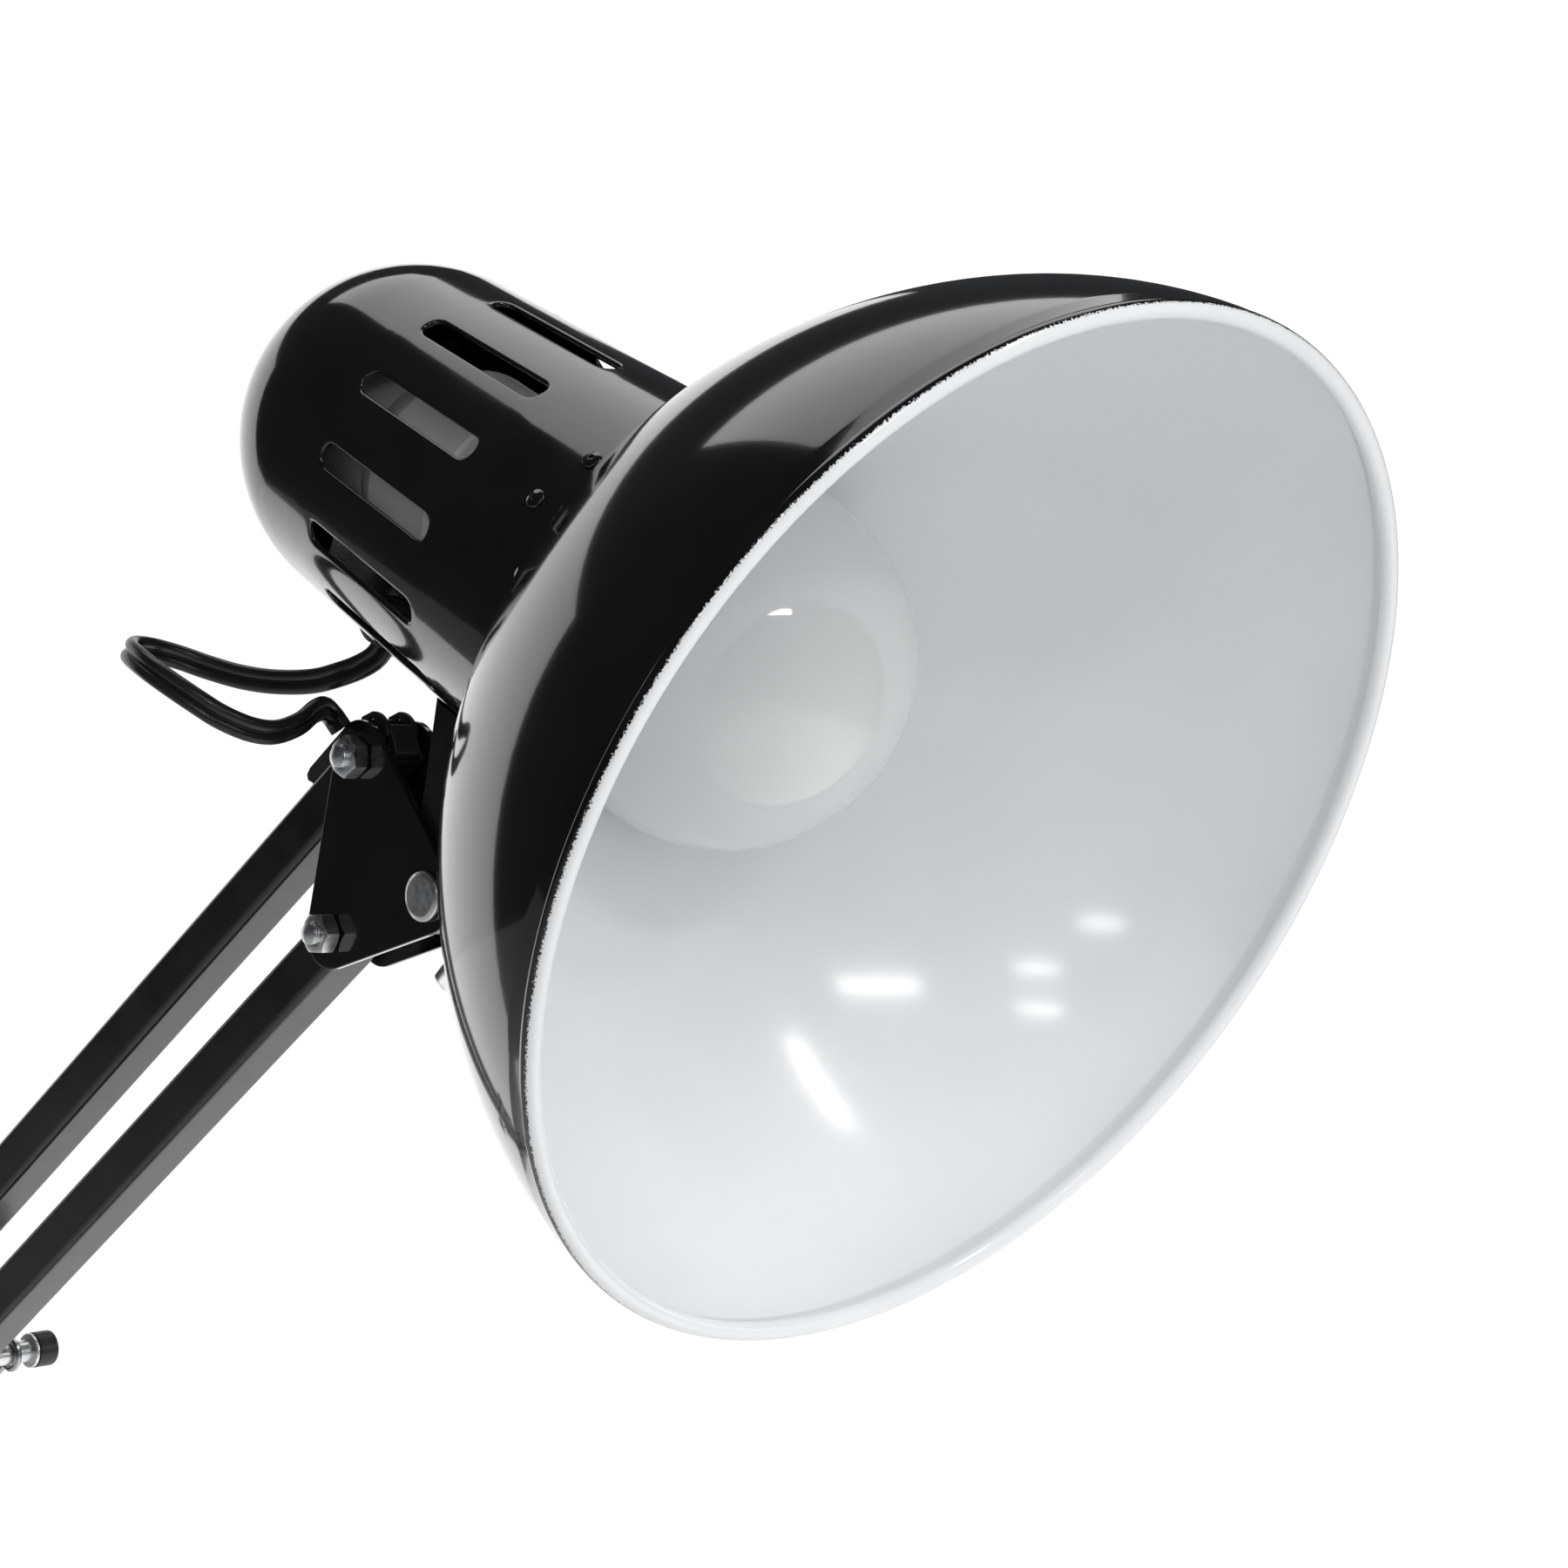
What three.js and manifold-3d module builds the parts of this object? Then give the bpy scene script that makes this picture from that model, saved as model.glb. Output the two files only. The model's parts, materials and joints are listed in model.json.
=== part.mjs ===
// Swing arm desk lamp with a round weighted base, two parallelogram arms and a bowl shade.
// Millimetres, +Z up. The origin is the centre of the base's underside; the arms swing in the XZ plane,
// the head points towards +X, and every arm pivot's axis runs along Y.
import * as THREE from 'three';
import { mergeVertices } from 'three/addons/utils/BufferGeometryUtils.js';
import Module from 'manifold-3d';

const wasm = await Module();
wasm.setup();

// ---- Driving dimensions ----
const GAP = 0.3;                      // clearance left between neighbouring pieces
const DEG = Math.PI / 180;

const UPPER_ANGLE = 35 * DEG;         // upper arm, above the horizontal
const LOWER_ANGLE = 105 * DEG;        // lower arm, leaning back past the vertical
const HEAD_DROP = 27.7 * DEG;         // head axis, below the horizontal
const ARM_LENGTH = 390;               // between the pivots of one bar

const TUBE = 10;                      // square arm tube, outside
const TUBE_WALL = 0.9;
const TUBE_CORNER = 1.3;
const TUBE_OVERHANG = 9;              // tube beyond its last pivot
const GUIDED_OVERHANG = 4;            // the same where the flex guide caps the tube
const TUBE_RISE = 0.9;                // tube centreline above its pivots, which leaves the flex room

const PLATE_INNER = 5.4;              // half the space between a bracket's two plates
const PLATE_THICK = 1.5;
const PLATE_CORNER = 6.9;
const PLATE_OUTER = PLATE_INNER + PLATE_THICK;

const BOLT_RADIUS = 2;                // M4 pivot bolts
const NUT_FLATS = 7;
const NUT_HEIGHT = 3.2;
const BOLT_TIP = 2;                   // thread beyond the nut
const TILT_BOLT_RADIUS = 2.5;         // M5 bolt of the head's tilt joint

const SPRING_REACH = 213;             // from a bar's lower pivot to its spring pin
const SPRING_SIDE = 14.5;             // spring centreline, out from the middle of the arm
const SPRING_RADIUS = 4.4;
const SPRING_HOOK = 24;               // straight wire at each end of a spring
const WIRE_RADIUS = 0.8;
const PIN_RADIUS = 2.5;
const PIN_HALF = 24;

const SHADE_RADIUS = 89;
const SHADE_DEPTH = 88.3;             // the bowl's curve, if it went on to the axis
const BOWL_POWER = 1.8;               // exponent of the bowl's superellipse
const SHADE_WALL = 1.1;
const BEAD_RADIUS = 1.5;
const NECK_RADIUS = 34.3;
const NECK_END = 91;

const HOUSING_FRONT = 79;             // distances behind the rim plane, along the head's axis
const DOME_CENTRE = 158.4;
const HOUSING_FRONT_RADIUS = 36.1;
const DOME_RADIUS = 32.8;
const HOUSING_WALL = 1;
const SLOT_SPACES = 14;               // even spaces round the housing, a slot in each one
const SOLID_SPACES = [7, 8];          // but the two underneath, by the lug and the grommet
const SLOT_START = 109.5;
const SLOT_END = 143.4;
const SLOT_WIDTH = 4.7;
const SLOT_PHASE = -9.4 * DEG;

const BULB_CENTRE = 68;
const BULB_RADIUS = 32;
const CAP_RADIUS = 13.2;

const FLEX_RADIUS = 2.4;              // flat twin flex, 4.8 mm wide
const FLEX_MEET = 0.7;                // from the meeting point of two flex pieces to the end of each

const BASE_RADIUS = 100;
const BASE_HEIGHT = 24;
const SOCKET_TOP = 48;
const BASE_PIVOT_HEIGHT = 82;
const POST_RADIUS = 6;

// ---- Places worked out from them, as [x, z] in the arms' plane ----
const along = (from, angle, distance, rise = 0) => [
  from[0] + Math.cos(angle) * distance - Math.sin(angle) * rise,
  from[1] + Math.sin(angle) * distance + Math.cos(angle) * rise,
];
const plus = (a, b) => [a[0] + b[0], a[1] + b[1]];

const BASE_FRONT = [12, BASE_PIVOT_HEIGHT];
const BASE_REAR = [-14, BASE_PIVOT_HEIGHT];
const ELBOW_FRONT = along(BASE_FRONT, LOWER_ANGLE, ARM_LENGTH);
const ELBOW_REAR = along(BASE_REAR, LOWER_ANGLE, ARM_LENGTH);
const ELBOW_LOW = plus(ELBOW_FRONT, [-6, 30]);
const ELBOW_HIGH = along(ELBOW_LOW, UPPER_ANGLE, 26, 22);
const HEAD_LOW = along(ELBOW_LOW, UPPER_ANGLE, ARM_LENGTH);
const HEAD_HIGH = along(ELBOW_HIGH, UPPER_ANGLE, ARM_LENGTH);
const TILT = plus(HEAD_LOW, [28.6, 7.6]);
const RIM = plus(HEAD_LOW, [158.6, 17.1]);
const BASE_ANCHOR = [6, 60];
const ELBOW_ANCHOR = plus(ELBOW_LOW, [-16, 2]);

// ---- Finishes ----
const finish = (color, roughness, metalness) => ({ color, roughness, metalness });
const BLACK_GLOSS = finish(0x0b0b0c, 0.12, 0);
const BLACK_SATIN = finish(0x17181a, 0.38, 0.2);
const WHITE_ENAMEL = finish(0xe4e6e8, 0.3, 0);
const ZINC = finish(0xb9bdc0, 0.3, 1);
const CAST_IRON = finish(0x3a3a3c, 0.7, 0.6);
const PALE_PLASTIC = finish(0xd8d8d4, 0.5, 0);
const BLACK_PLASTIC = finish(0x141415, 0.45, 0);
const BLACK_RUBBER = finish(0x1c1c1d, 0.8, 0);
const OPAL_GLASS = finish(0xd9dadb, 0.15, 0);

const lamp = new THREE.Group();

// ---- Helpers ----
function signedVolume(geometry) {
  const p = geometry.attributes.position;
  const index = geometry.index;
  const corner = [new THREE.Vector3(), new THREE.Vector3(), new THREE.Vector3()];
  let volume = 0;
  for (let i = 0; i < index.count; i += 3) {
    corner.forEach((c, k) => c.fromBufferAttribute(p, index.getX(i + k)));
    volume += corner[0].dot(corner[1].clone().cross(corner[2])) / 6;
  }
  return volume;
}

// Merge shared vertices, drop slivers and turn the faces outward.
function welded(geometry) {
  const bare = geometry.clone();
  bare.deleteAttribute('normal');
  bare.deleteAttribute('uv');
  const merged = mergeVertices(bare, 1e-4);
  const old = merged.index.array;
  const kept = [];
  for (let i = 0; i < old.length; i += 3) {
    const [a, b, c] = [old[i], old[i + 1], old[i + 2]];
    if (a !== b && b !== c && c !== a) kept.push(a, b, c);
  }
  merged.setIndex(kept);
  if (signedVolume(merged) < 0) {
    for (let i = 0; i < kept.length; i += 3) [kept[i + 1], kept[i + 2]] = [kept[i + 2], kept[i + 1]];
    merged.setIndex(kept);
  }
  return merged;
}

function solid(geometry) {
  const g = welded(geometry);
  return new wasm.Manifold(new wasm.Mesh({
    numProp: 3,
    vertProperties: new Float32Array(g.attributes.position.array),
    triVerts: new Uint32Array(g.index.array),
  }));
}

function geometryOf(manifold) {
  const mesh = manifold.getMesh();
  const g = new THREE.BufferGeometry();
  g.setAttribute('position', new THREE.BufferAttribute(new Float32Array(mesh.vertProperties), 3));
  g.setIndex(new THREE.BufferAttribute(new Uint32Array(mesh.triVerts), 1));
  return g;
}

const join = (first, ...rest) => geometryOf(rest.reduce((sum, g) => sum.add(solid(g)), solid(first)));
const cut = (body, ...tools) => geometryOf(tools.reduce((sum, g) => sum.subtract(solid(g)), solid(body)));

function add(name, geometry, look, group = lamp) {
  const shape = welded(geometry);
  shape.computeVertexNormals();
  const mesh = new THREE.Mesh(shape, new THREE.MeshStandardMaterial(look));
  mesh.name = name;
  group.add(mesh);
  return mesh;
}

// A solid of revolution about Z from [radius, height] points.
function turned(points, segments = 32) {
  const profile = points.map(([r, z]) => new THREE.Vector2(r, z));
  return new THREE.LatheGeometry(profile, segments).rotateX(Math.PI / 2);
}

// A closed ring of revolution about Z: its profile ends where it starts.
const turnedRing = (points, segments) => turned([...points, points[0]], segments);

// A cylinder along Y from y0 to y1, at [x, z].
function crossRod(radius, y0, y1, [x, z] = [0, 0], sides = 12) {
  const rod = new THREE.CylinderGeometry(radius, radius, y1 - y0, sides);
  return rod.translate(x, (y0 + y1) / 2, z);
}

function block(x0, x1, y0, y1, z0, z1) {
  const box = new THREE.BoxGeometry(x1 - x0, y1 - y0, z1 - z0);
  return box.translate((x0 + x1) / 2, (y0 + y1) / 2, (z0 + z1) / 2);
}

// An outline in XZ, extruded along Y from y0 to y1.
function slab(shape, y0, y1, curveSegments = 4) {
  const options = { depth: y1 - y0, bevelEnabled: false, curveSegments };
  return new THREE.ExtrudeGeometry(shape, options).rotateX(Math.PI / 2).translate(0, y1, 0);
}

const polygon = (points) => new THREE.Shape(points.map(([x, z]) => new THREE.Vector2(x, z)));

// The outline of discs at convex corner points, wrapped by a taut band. Corners run counterclockwise.
function bandOutline(corners, radii) {
  const shape = new THREE.Shape();
  corners.forEach((corner, i) => {
    const before = corners[(i + corners.length - 1) % corners.length];
    const after = corners[(i + 1) % corners.length];
    const r = radii[i];
    const rBefore = radii[(i + radii.length - 1) % radii.length];
    const rAfter = radii[(i + 1) % radii.length];
    const normal = (p, q, rp, rq) => {
      const length = Math.hypot(q[0] - p[0], q[1] - p[1]);
      return Math.atan2(q[1] - p[1], q[0] - p[0]) - Math.PI / 2 + Math.asin((rq - rp) / length) * -1;
    };
    const start = normal(before, corner, rBefore, r);
    const end = normal(corner, after, r, rAfter);
    shape.absarc(corner[0], corner[1], r, start, end, false);
  });
  shape.closePath();
  return shape;
}

function withHoles(shape, holes) {
  for (const [[x, z], radius] of holes) {
    const hole = new THREE.Path();
    hole.absarc(x, z, radius, 0, 2 * Math.PI, true);
    shape.holes.push(hole);
  }
  return shape;
}

function roundedSquare(width, corner) {
  const h = width / 2;
  const shape = new THREE.Shape();
  shape.absarc(h - corner, h - corner, corner, 0, Math.PI / 2);
  shape.absarc(-h + corner, h - corner, corner, Math.PI / 2, Math.PI);
  shape.absarc(-h + corner, -h + corner, corner, Math.PI, 1.5 * Math.PI);
  shape.absarc(h - corner, -h + corner, corner, 1.5 * Math.PI, 2 * Math.PI);
  shape.closePath();
  return shape;
}

// A group whose X axis runs along an arm at the given angle, from a pivot at [x, z].
function armGroup(pivot, angle) {
  const group = new THREE.Group();
  group.position.set(pivot[0], 0, pivot[1]);
  group.rotation.y = -angle;
  lamp.add(group);
  return group;
}

// Turns an outline drawn in XY to face along X.
const ALONG_X = new THREE.Matrix4().makeBasis(
  new THREE.Vector3(0, 1, 0), new THREE.Vector3(0, 0, 1), new THREE.Vector3(1, 0, 0));

// ---- Arm bars ----
function bar(name, pivot, angle, extraCuts = [], endOverhang = TUBE_OVERHANG) {
  const outline = roundedSquare(TUBE, TUBE_CORNER);
  outline.holes.push(roundedSquare(TUBE - 2 * TUBE_WALL, TUBE_CORNER - TUBE_WALL + 0.3));
  const length = TUBE_OVERHANG + ARM_LENGTH + endOverhang;
  const tube = new THREE.ExtrudeGeometry(outline, { depth: length, bevelEnabled: false, curveSegments: 1 });
  tube.applyMatrix4(ALONG_X).translate(-TUBE_OVERHANG, 0, TUBE_RISE);
  const hole = (x, r) => crossRod(r, -TUBE, TUBE, [x, 0]);
  const holes = [hole(0, BOLT_RADIUS + GAP), hole(ARM_LENGTH, BOLT_RADIUS + GAP)];
  return add(name, cut(tube, ...holes, ...extraCuts), BLACK_SATIN, armGroup(pivot, angle));
}

const pinHole = () => crossRod(PIN_RADIUS + GAP, -TUBE, TUBE, [SPRING_REACH, TUBE_RISE]);
const flexSlot = (x) => block(x - 4, x + 4, -2.6, 2.6, 3, 8);
const FLEX_ENTRY = ARM_LENGTH - 7;    // where the flex dips into the upper bar, behind its last bolt

bar('lower_front_bar', BASE_FRONT, LOWER_ANGLE, [pinHole()]);
bar('lower_rear_bar', BASE_REAR, LOWER_ANGLE);
bar('upper_bottom_bar', ELBOW_LOW, UPPER_ANGLE, [pinHole()]);
bar('upper_top_bar', ELBOW_HIGH, UPPER_ANGLE, [flexSlot(FLEX_ENTRY)], GUIDED_OVERHANG);

// ---- Bracket plates, in pairs ----
function plates(name, corners, radii, holes) {
  for (const [side, y0] of [['near', -PLATE_OUTER], ['far', PLATE_INNER]]) {
    const outline = withHoles(bandOutline(corners, radii), holes);
    add(`${name}_plate_${side}`, slab(outline, y0, y0 + PLATE_THICK), BLACK_SATIN);
  }
}

const boltHole = (at) => [at, BOLT_RADIUS + GAP];
const anchorHole = (at) => [at, PIN_RADIUS + GAP];
const plateRadii = (count) => new Array(count).fill(PLATE_CORNER);

plates('head', [HEAD_LOW, TILT, HEAD_HIGH], plateRadii(3),
  [boltHole(HEAD_LOW), [TILT, TILT_BOLT_RADIUS + GAP], boltHole(HEAD_HIGH)]);
plates('elbow', [ELBOW_REAR, ELBOW_FRONT, ELBOW_HIGH, ELBOW_ANCHOR], plateRadii(4),
  [boltHole(ELBOW_FRONT), boltHole(ELBOW_REAR), boltHole(ELBOW_HIGH), boltHole(ELBOW_LOW),
    anchorHole(ELBOW_ANCHOR)]);
plates('base', [[BASE_ANCHOR[0] - 2, BASE_ANCHOR[1]], [BASE_ANCHOR[0] + 2, BASE_ANCHOR[1]],
  BASE_FRONT, BASE_REAR], plateRadii(4),
  [boltHole(BASE_FRONT), boltHole(BASE_REAR), anchorHole(BASE_ANCHOR)]);

// ---- Pivot bolts: hexagon head on the far side, nut on the near side ----
function pivotBolt(name, at) {
  const hexRadius = NUT_FLATS / Math.sqrt(3);
  const face = PLATE_OUTER + GAP;
  const shank = crossRod(BOLT_RADIUS, -face - NUT_HEIGHT - BOLT_TIP, face + 0.5, at, 8);
  const head = crossRod(hexRadius, face, face + 2.8, at, 6);
  const nut = crossRod(hexRadius, -face - NUT_HEIGHT, -face, at, 6);
  add(name, join(shank, head, nut), ZINC);
}

pivotBolt('head_top_bolt', HEAD_HIGH);
pivotBolt('head_bottom_bolt', HEAD_LOW);
pivotBolt('elbow_top_bolt', ELBOW_HIGH);
pivotBolt('elbow_middle_bolt', ELBOW_LOW);
pivotBolt('elbow_front_bolt', ELBOW_FRONT);
pivotBolt('elbow_rear_bolt', ELBOW_REAR);
pivotBolt('base_front_bolt', BASE_FRONT);
pivotBolt('base_rear_bolt', BASE_REAR);

// ---- Springs, and the cross pins that they hook on ----
function crossPin(name, at) {
  const cap = (y0, y1) => crossRod(4, y0, y1, at);
  const rod = crossRod(PIN_RADIUS, -PIN_HALF, PIN_HALF, at, 8);
  add(name, join(rod, cap(-PIN_HALF - 1, -PIN_HALF + 5), cap(PIN_HALF - 5, PIN_HALF + 1)), ZINC);
}

function springPair(name, from, to) {
  const angle = Math.atan2(to[1] - from[1], to[0] - from[0]);
  const clear = PIN_RADIUS + GAP;
  const length = Math.hypot(to[0] - from[0], to[1] - from[1]);
  const coil = [
    [0, clear], [WIRE_RADIUS, clear], [WIRE_RADIUS, SPRING_HOOK], [SPRING_RADIUS, SPRING_HOOK + 3],
    [SPRING_RADIUS, length - SPRING_HOOK - 3], [WIRE_RADIUS, length - SPRING_HOOK],
    [WIRE_RADIUS, length - clear], [0, length - clear],
  ];
  for (const [side, y] of [['near', -SPRING_SIDE], ['far', SPRING_SIDE]]) {
    const group = armGroup(from, angle);
    const geometry = turned(coil, 10).rotateY(Math.PI / 2).translate(0, y, 0);
    add(`${name}_spring_${side}`, geometry, ZINC, group);
  }
}

const UPPER_PIN = along(ELBOW_LOW, UPPER_ANGLE, SPRING_REACH, TUBE_RISE);
const LOWER_PIN = along(BASE_FRONT, LOWER_ANGLE, SPRING_REACH, TUBE_RISE);
crossPin('upper_spring_pin', UPPER_PIN);
crossPin('lower_spring_pin', LOWER_PIN);
crossPin('elbow_anchor_pin', ELBOW_ANCHOR);
crossPin('base_anchor_pin', BASE_ANCHOR);
springPair('upper', ELBOW_ANCHOR, UPPER_PIN);
springPair('lower', BASE_ANCHOR, LOWER_PIN);

// ---- Guide that caps the upper bar's end and leads the flex into it, between two round-nosed cheeks ----
const GUIDE_FLOOR = TUBE / 2 + TUBE_RISE + GAP;
const GUIDE_NOSE = GUIDED_OVERHANG + GAP;
const NOSE_RADIUS = 4.9;
const guideOutline = new THREE.Shape();
guideOutline.moveTo(-16, GUIDE_FLOOR);
guideOutline.lineTo(GUIDE_NOSE, GUIDE_FLOOR);
guideOutline.lineTo(GUIDE_NOSE, 0.5);
guideOutline.absarc(2.1, 2.95, NOSE_RADIUS, -30 * DEG, 55 * DEG);
guideOutline.lineTo(-2.6, 7);
guideOutline.lineTo(-3, 9.2);
guideOutline.lineTo(-18.5, 9.2);
guideOutline.closePath();
const guideHole = block(-11, -3, -2.6, 2.6, 0, 20);
const guideChannel = block(-2.6, 10, -2.6, 2.6, 3, 20);
add('cord_guide', cut(slab(guideOutline, -3.7, 3.7), guideHole, guideChannel), BLACK_PLASTIC,
  armGroup(HEAD_HIGH, UPPER_ANGLE));

// ---- Head: local Z runs back from the rim along the head's axis, local X is the head's top side ----
const head = new THREE.Group();
head.position.set(RIM[0], 0, RIM[1]);
head.rotation.y = HEAD_DROP - Math.PI / 2;
lamp.add(head);

const tiltInHead = (() => {
  const dx = TILT[0] - RIM[0];
  const dz = TILT[1] - RIM[1];
  return [dx * Math.sin(HEAD_DROP) + dz * Math.cos(HEAD_DROP),
    -dx * Math.cos(HEAD_DROP) + dz * Math.sin(HEAD_DROP)];
})();

// Bowl: distance behind the rim for a radius, along a superellipse.
function bowlBack(r, rim, depth) {
  return depth * Math.pow(1 - Math.pow(r / rim, BOWL_POWER), 1 / BOWL_POWER);
}

function bowlCurve(rim, depth, rStart, rEnd, steps) {
  const points = [];
  for (let i = 0; i <= steps; i += 1) {
    const ease = 1 - Math.pow(1 - i / steps, 2);
    const r = i === 0 ? rStart : rStart + (rEnd - rStart) * (0.25 * ease + 0.75 * Math.pow(i / steps, 1.6));
    points.push([r, bowlBack(r, rim, depth)]);
  }
  return points;
}

const bowlOuter = bowlCurve(SHADE_RADIUS, SHADE_DEPTH, SHADE_RADIUS - 0.6, NECK_RADIUS + 1, 7);
const bowlInner = bowlCurve(SHADE_RADIUS - SHADE_WALL, SHADE_DEPTH - SHADE_WALL,
  SHADE_RADIUS - SHADE_WALL - 0.9, NECK_RADIUS - SHADE_WALL, 7);
const shadeProfile = [
  [SHADE_RADIUS, 0.8], [SHADE_RADIUS, 2.2], ...bowlOuter,
  [NECK_RADIUS, bowlBack(NECK_RADIUS + 1, SHADE_RADIUS, SHADE_DEPTH) + 0.4], [NECK_RADIUS, NECK_END],
  [NECK_RADIUS - SHADE_WALL, NECK_END], ...bowlInner.reverse(),
  [SHADE_RADIUS - 2 * BEAD_RADIUS, 2.2], [SHADE_RADIUS - 2 * BEAD_RADIUS, 0.8],
  [SHADE_RADIUS - BEAD_RADIUS, 0],
];
add('shade', turnedRing(shadeProfile, 36), BLACK_GLOSS, head);

// Housing: a slightly tapered tube closed by a round dome, with a ring of cooling slots.
function housingRadius(z) {
  const t = (z - HOUSING_FRONT) / (DOME_CENTRE - HOUSING_FRONT);
  return HOUSING_FRONT_RADIUS + (DOME_RADIUS - HOUSING_FRONT_RADIUS) * t;
}

function dome(radius, steps) {
  return Array.from({ length: steps + 1 }, (_, i) => {
    const angle = (i / steps) * Math.PI / 2;
    return [radius * Math.cos(angle), DOME_CENTRE + radius * Math.sin(angle)];
  }).map(([r, z], i) => (i === steps ? [0, z] : [r, z]));
}

const housingShell = turned([
  ...dome(DOME_RADIUS - HOUSING_WALL, 5).reverse(),
  [HOUSING_FRONT_RADIUS - HOUSING_WALL, HOUSING_FRONT + GAP],
  [HOUSING_FRONT_RADIUS, HOUSING_FRONT + GAP],
  ...dome(DOME_RADIUS, 5),
], 28);

// Turns an outline drawn in XY, X being the distance behind the rim, to face the head's axis.
const INTO_HEAD = new THREE.Matrix4().makeBasis(
  new THREE.Vector3(0, 0, 1), new THREE.Vector3(0, 1, 0), new THREE.Vector3(-1, 0, 0));

function slotTool(angle) {
  const half = SLOT_WIDTH / 2;
  const outline = new THREE.Shape();
  outline.absarc(SLOT_START + half, 0, half, Math.PI / 2, 1.5 * Math.PI);
  outline.absarc(SLOT_END - half, 0, half, 1.5 * Math.PI, 2.5 * Math.PI);
  outline.closePath();
  const tool = new THREE.ExtrudeGeometry(outline, { depth: 12, bevelEnabled: false, curveSegments: 2 });
  return tool.applyMatrix4(INTO_HEAD).translate(DOME_RADIUS + 6, 0, 0).rotateZ(angle);
}

const slotAngle = (k) => SLOT_PHASE + (k * 2 * Math.PI) / SLOT_SPACES;
const slots = Array.from({ length: SLOT_SPACES }, (_, k) => k)
  .filter((k) => !SOLID_SPACES.includes(k)).map((k) => slotTool(slotAngle(k)));
const radialHole = (z, r) => new THREE.CylinderGeometry(r, r, 16, 12)
  .rotateZ(Math.PI / 2).translate(-34, 0, z);
const LUG_SCREWS = [97, 122];
const GROMMET_AT = 150.5;
add('housing', cut(housingShell, ...slots, ...LUG_SCREWS.map((z) => radialHole(z, 1.8)),
  radialHole(GROMMET_AT, 3.7)), BLACK_GLOSS, head);

// Lug: a steel channel under the housing whose two ears hang on the tilt bolt.
const LUG_TOP = -housingRadius(90) - GAP;
const EAR_INNER = 3.4;
const EAR_OUTER = 5;
const webUnder = LUG_TOP - 1.6;
function ear(y0) {
  const corners = [[tiltInHead[1], -tiltInHead[0]], [93, -LUG_TOP], [126, -LUG_TOP]];
  const outline = bandOutline([corners[1], corners[2], corners[0]], [0.8, 0.8, PLATE_CORNER]);
  withHoles(outline, [[corners[0], TILT_BOLT_RADIUS + GAP]]);
  return slab(outline, y0, y0 + EAR_OUTER - EAR_INNER);
}
const ears = [ear(-EAR_OUTER), ear(EAR_INNER)].map((g) => g.applyMatrix4(INTO_HEAD));
const web = block(webUnder, LUG_TOP, -EAR_OUTER, EAR_OUTER, 92, 127);
const trim = block(LUG_TOP, LUG_TOP + 20, -20, 20, 60, 160);
add('head_lug', geometryOf(ears.reduce((sum, g) => sum.add(solid(g)), solid(web))
  .subtract(solid(trim)).subtract(solid(radialHole(LUG_SCREWS[0], 1.8)))
  .subtract(solid(radialHole(LUG_SCREWS[1], 1.8)))), BLACK_SATIN, head);

// Strap inside the housing that carries the lampholder, and the screws that hold strap and lug.
const STRAP_OUTER = -28.6;
const STRAP_INNER = -27.2;
const STRAP_END = 168;
const holderHole = new THREE.CylinderGeometry(5.3, 5.3, 8, 16)
  .rotateX(Math.PI / 2).translate(0, 0, STRAP_END);
add('holder_strap', cut(join(
  block(STRAP_OUTER, STRAP_INNER, -6, 6, 91, STRAP_END),
  block(STRAP_OUTER, 9, -6, 6, STRAP_END - 1.4, STRAP_END)),
holderHole, radialHole(GROMMET_AT, 3), ...LUG_SCREWS.map((z) => radialHole(z, 1.8))), ZINC, head);

function radialScrew(name, z) {
  const rod = (r, x0, x1, sides) => new THREE.CylinderGeometry(r, r, x1 - x0, sides)
    .rotateZ(Math.PI / 2).translate((x0 + x1) / 2, 0, z);
  const nutTop = webUnder - GAP;
  add(name, join(rod(1.5, nutTop - 4.4, STRAP_INNER + 1, 12),
    rod(2.8, STRAP_INNER + GAP, STRAP_INNER + 2.3, 14), rod(2.9, nutTop - 2.4, nutTop, 6)), ZINC, head);
}
radialScrew('lug_screw_front', LUG_SCREWS[0]);
radialScrew('lug_screw_rear', LUG_SCREWS[1]);

// Lampholder, screwed to the strap by its threaded stub, and the bulb.
const HOLDER_FRONT = 117;
const HOLDER_BACK = STRAP_END - 1.4 - GAP;
add('lampholder', turned([
  [0, 148], [CAP_RADIUS + 0.8, 148], [CAP_RADIUS + 0.8, HOLDER_FRONT], [18.5, HOLDER_FRONT],
  [19.5, HOLDER_FRONT + 3], [19.5, 146], [17, 152], [17, HOLDER_BACK], [4.8, HOLDER_BACK],
  [4.8, STRAP_END + 6], [0, STRAP_END + 6],
], 20), PALE_PLASTIC, head);
// Bulb: a thin globe, open at the back of its neck, where the cap closes it.
const GLASS = 1;
function bulbOutline(inset) {
  const radius = BULB_RADIUS - inset;
  const ball = Array.from({ length: 8 }, (_, i) => {
    const angle = -Math.PI / 2 + (i / 7) * 118 * DEG;
    return [i === 0 ? 0 : radius * Math.cos(angle), BULB_CENTRE + radius * Math.sin(angle)];
  });
  return [...ball, [19.5 - inset, 104], [15.6 - inset, 112], [12 - inset, 118.4]];
}
add('bulb_globe', turned([...bulbOutline(0), ...bulbOutline(GLASS).reverse()], 24), OPAL_GLASS, head);
add('bulb_cap', turned([
  [0, 118.7], [CAP_RADIUS - 0.6, 118.7], [CAP_RADIUS, 120], [CAP_RADIUS, 138], [9, 142], [4.5, 143],
  [4.5, 145.5], [0, 145.5],
], 16), ZINC, head);

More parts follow.
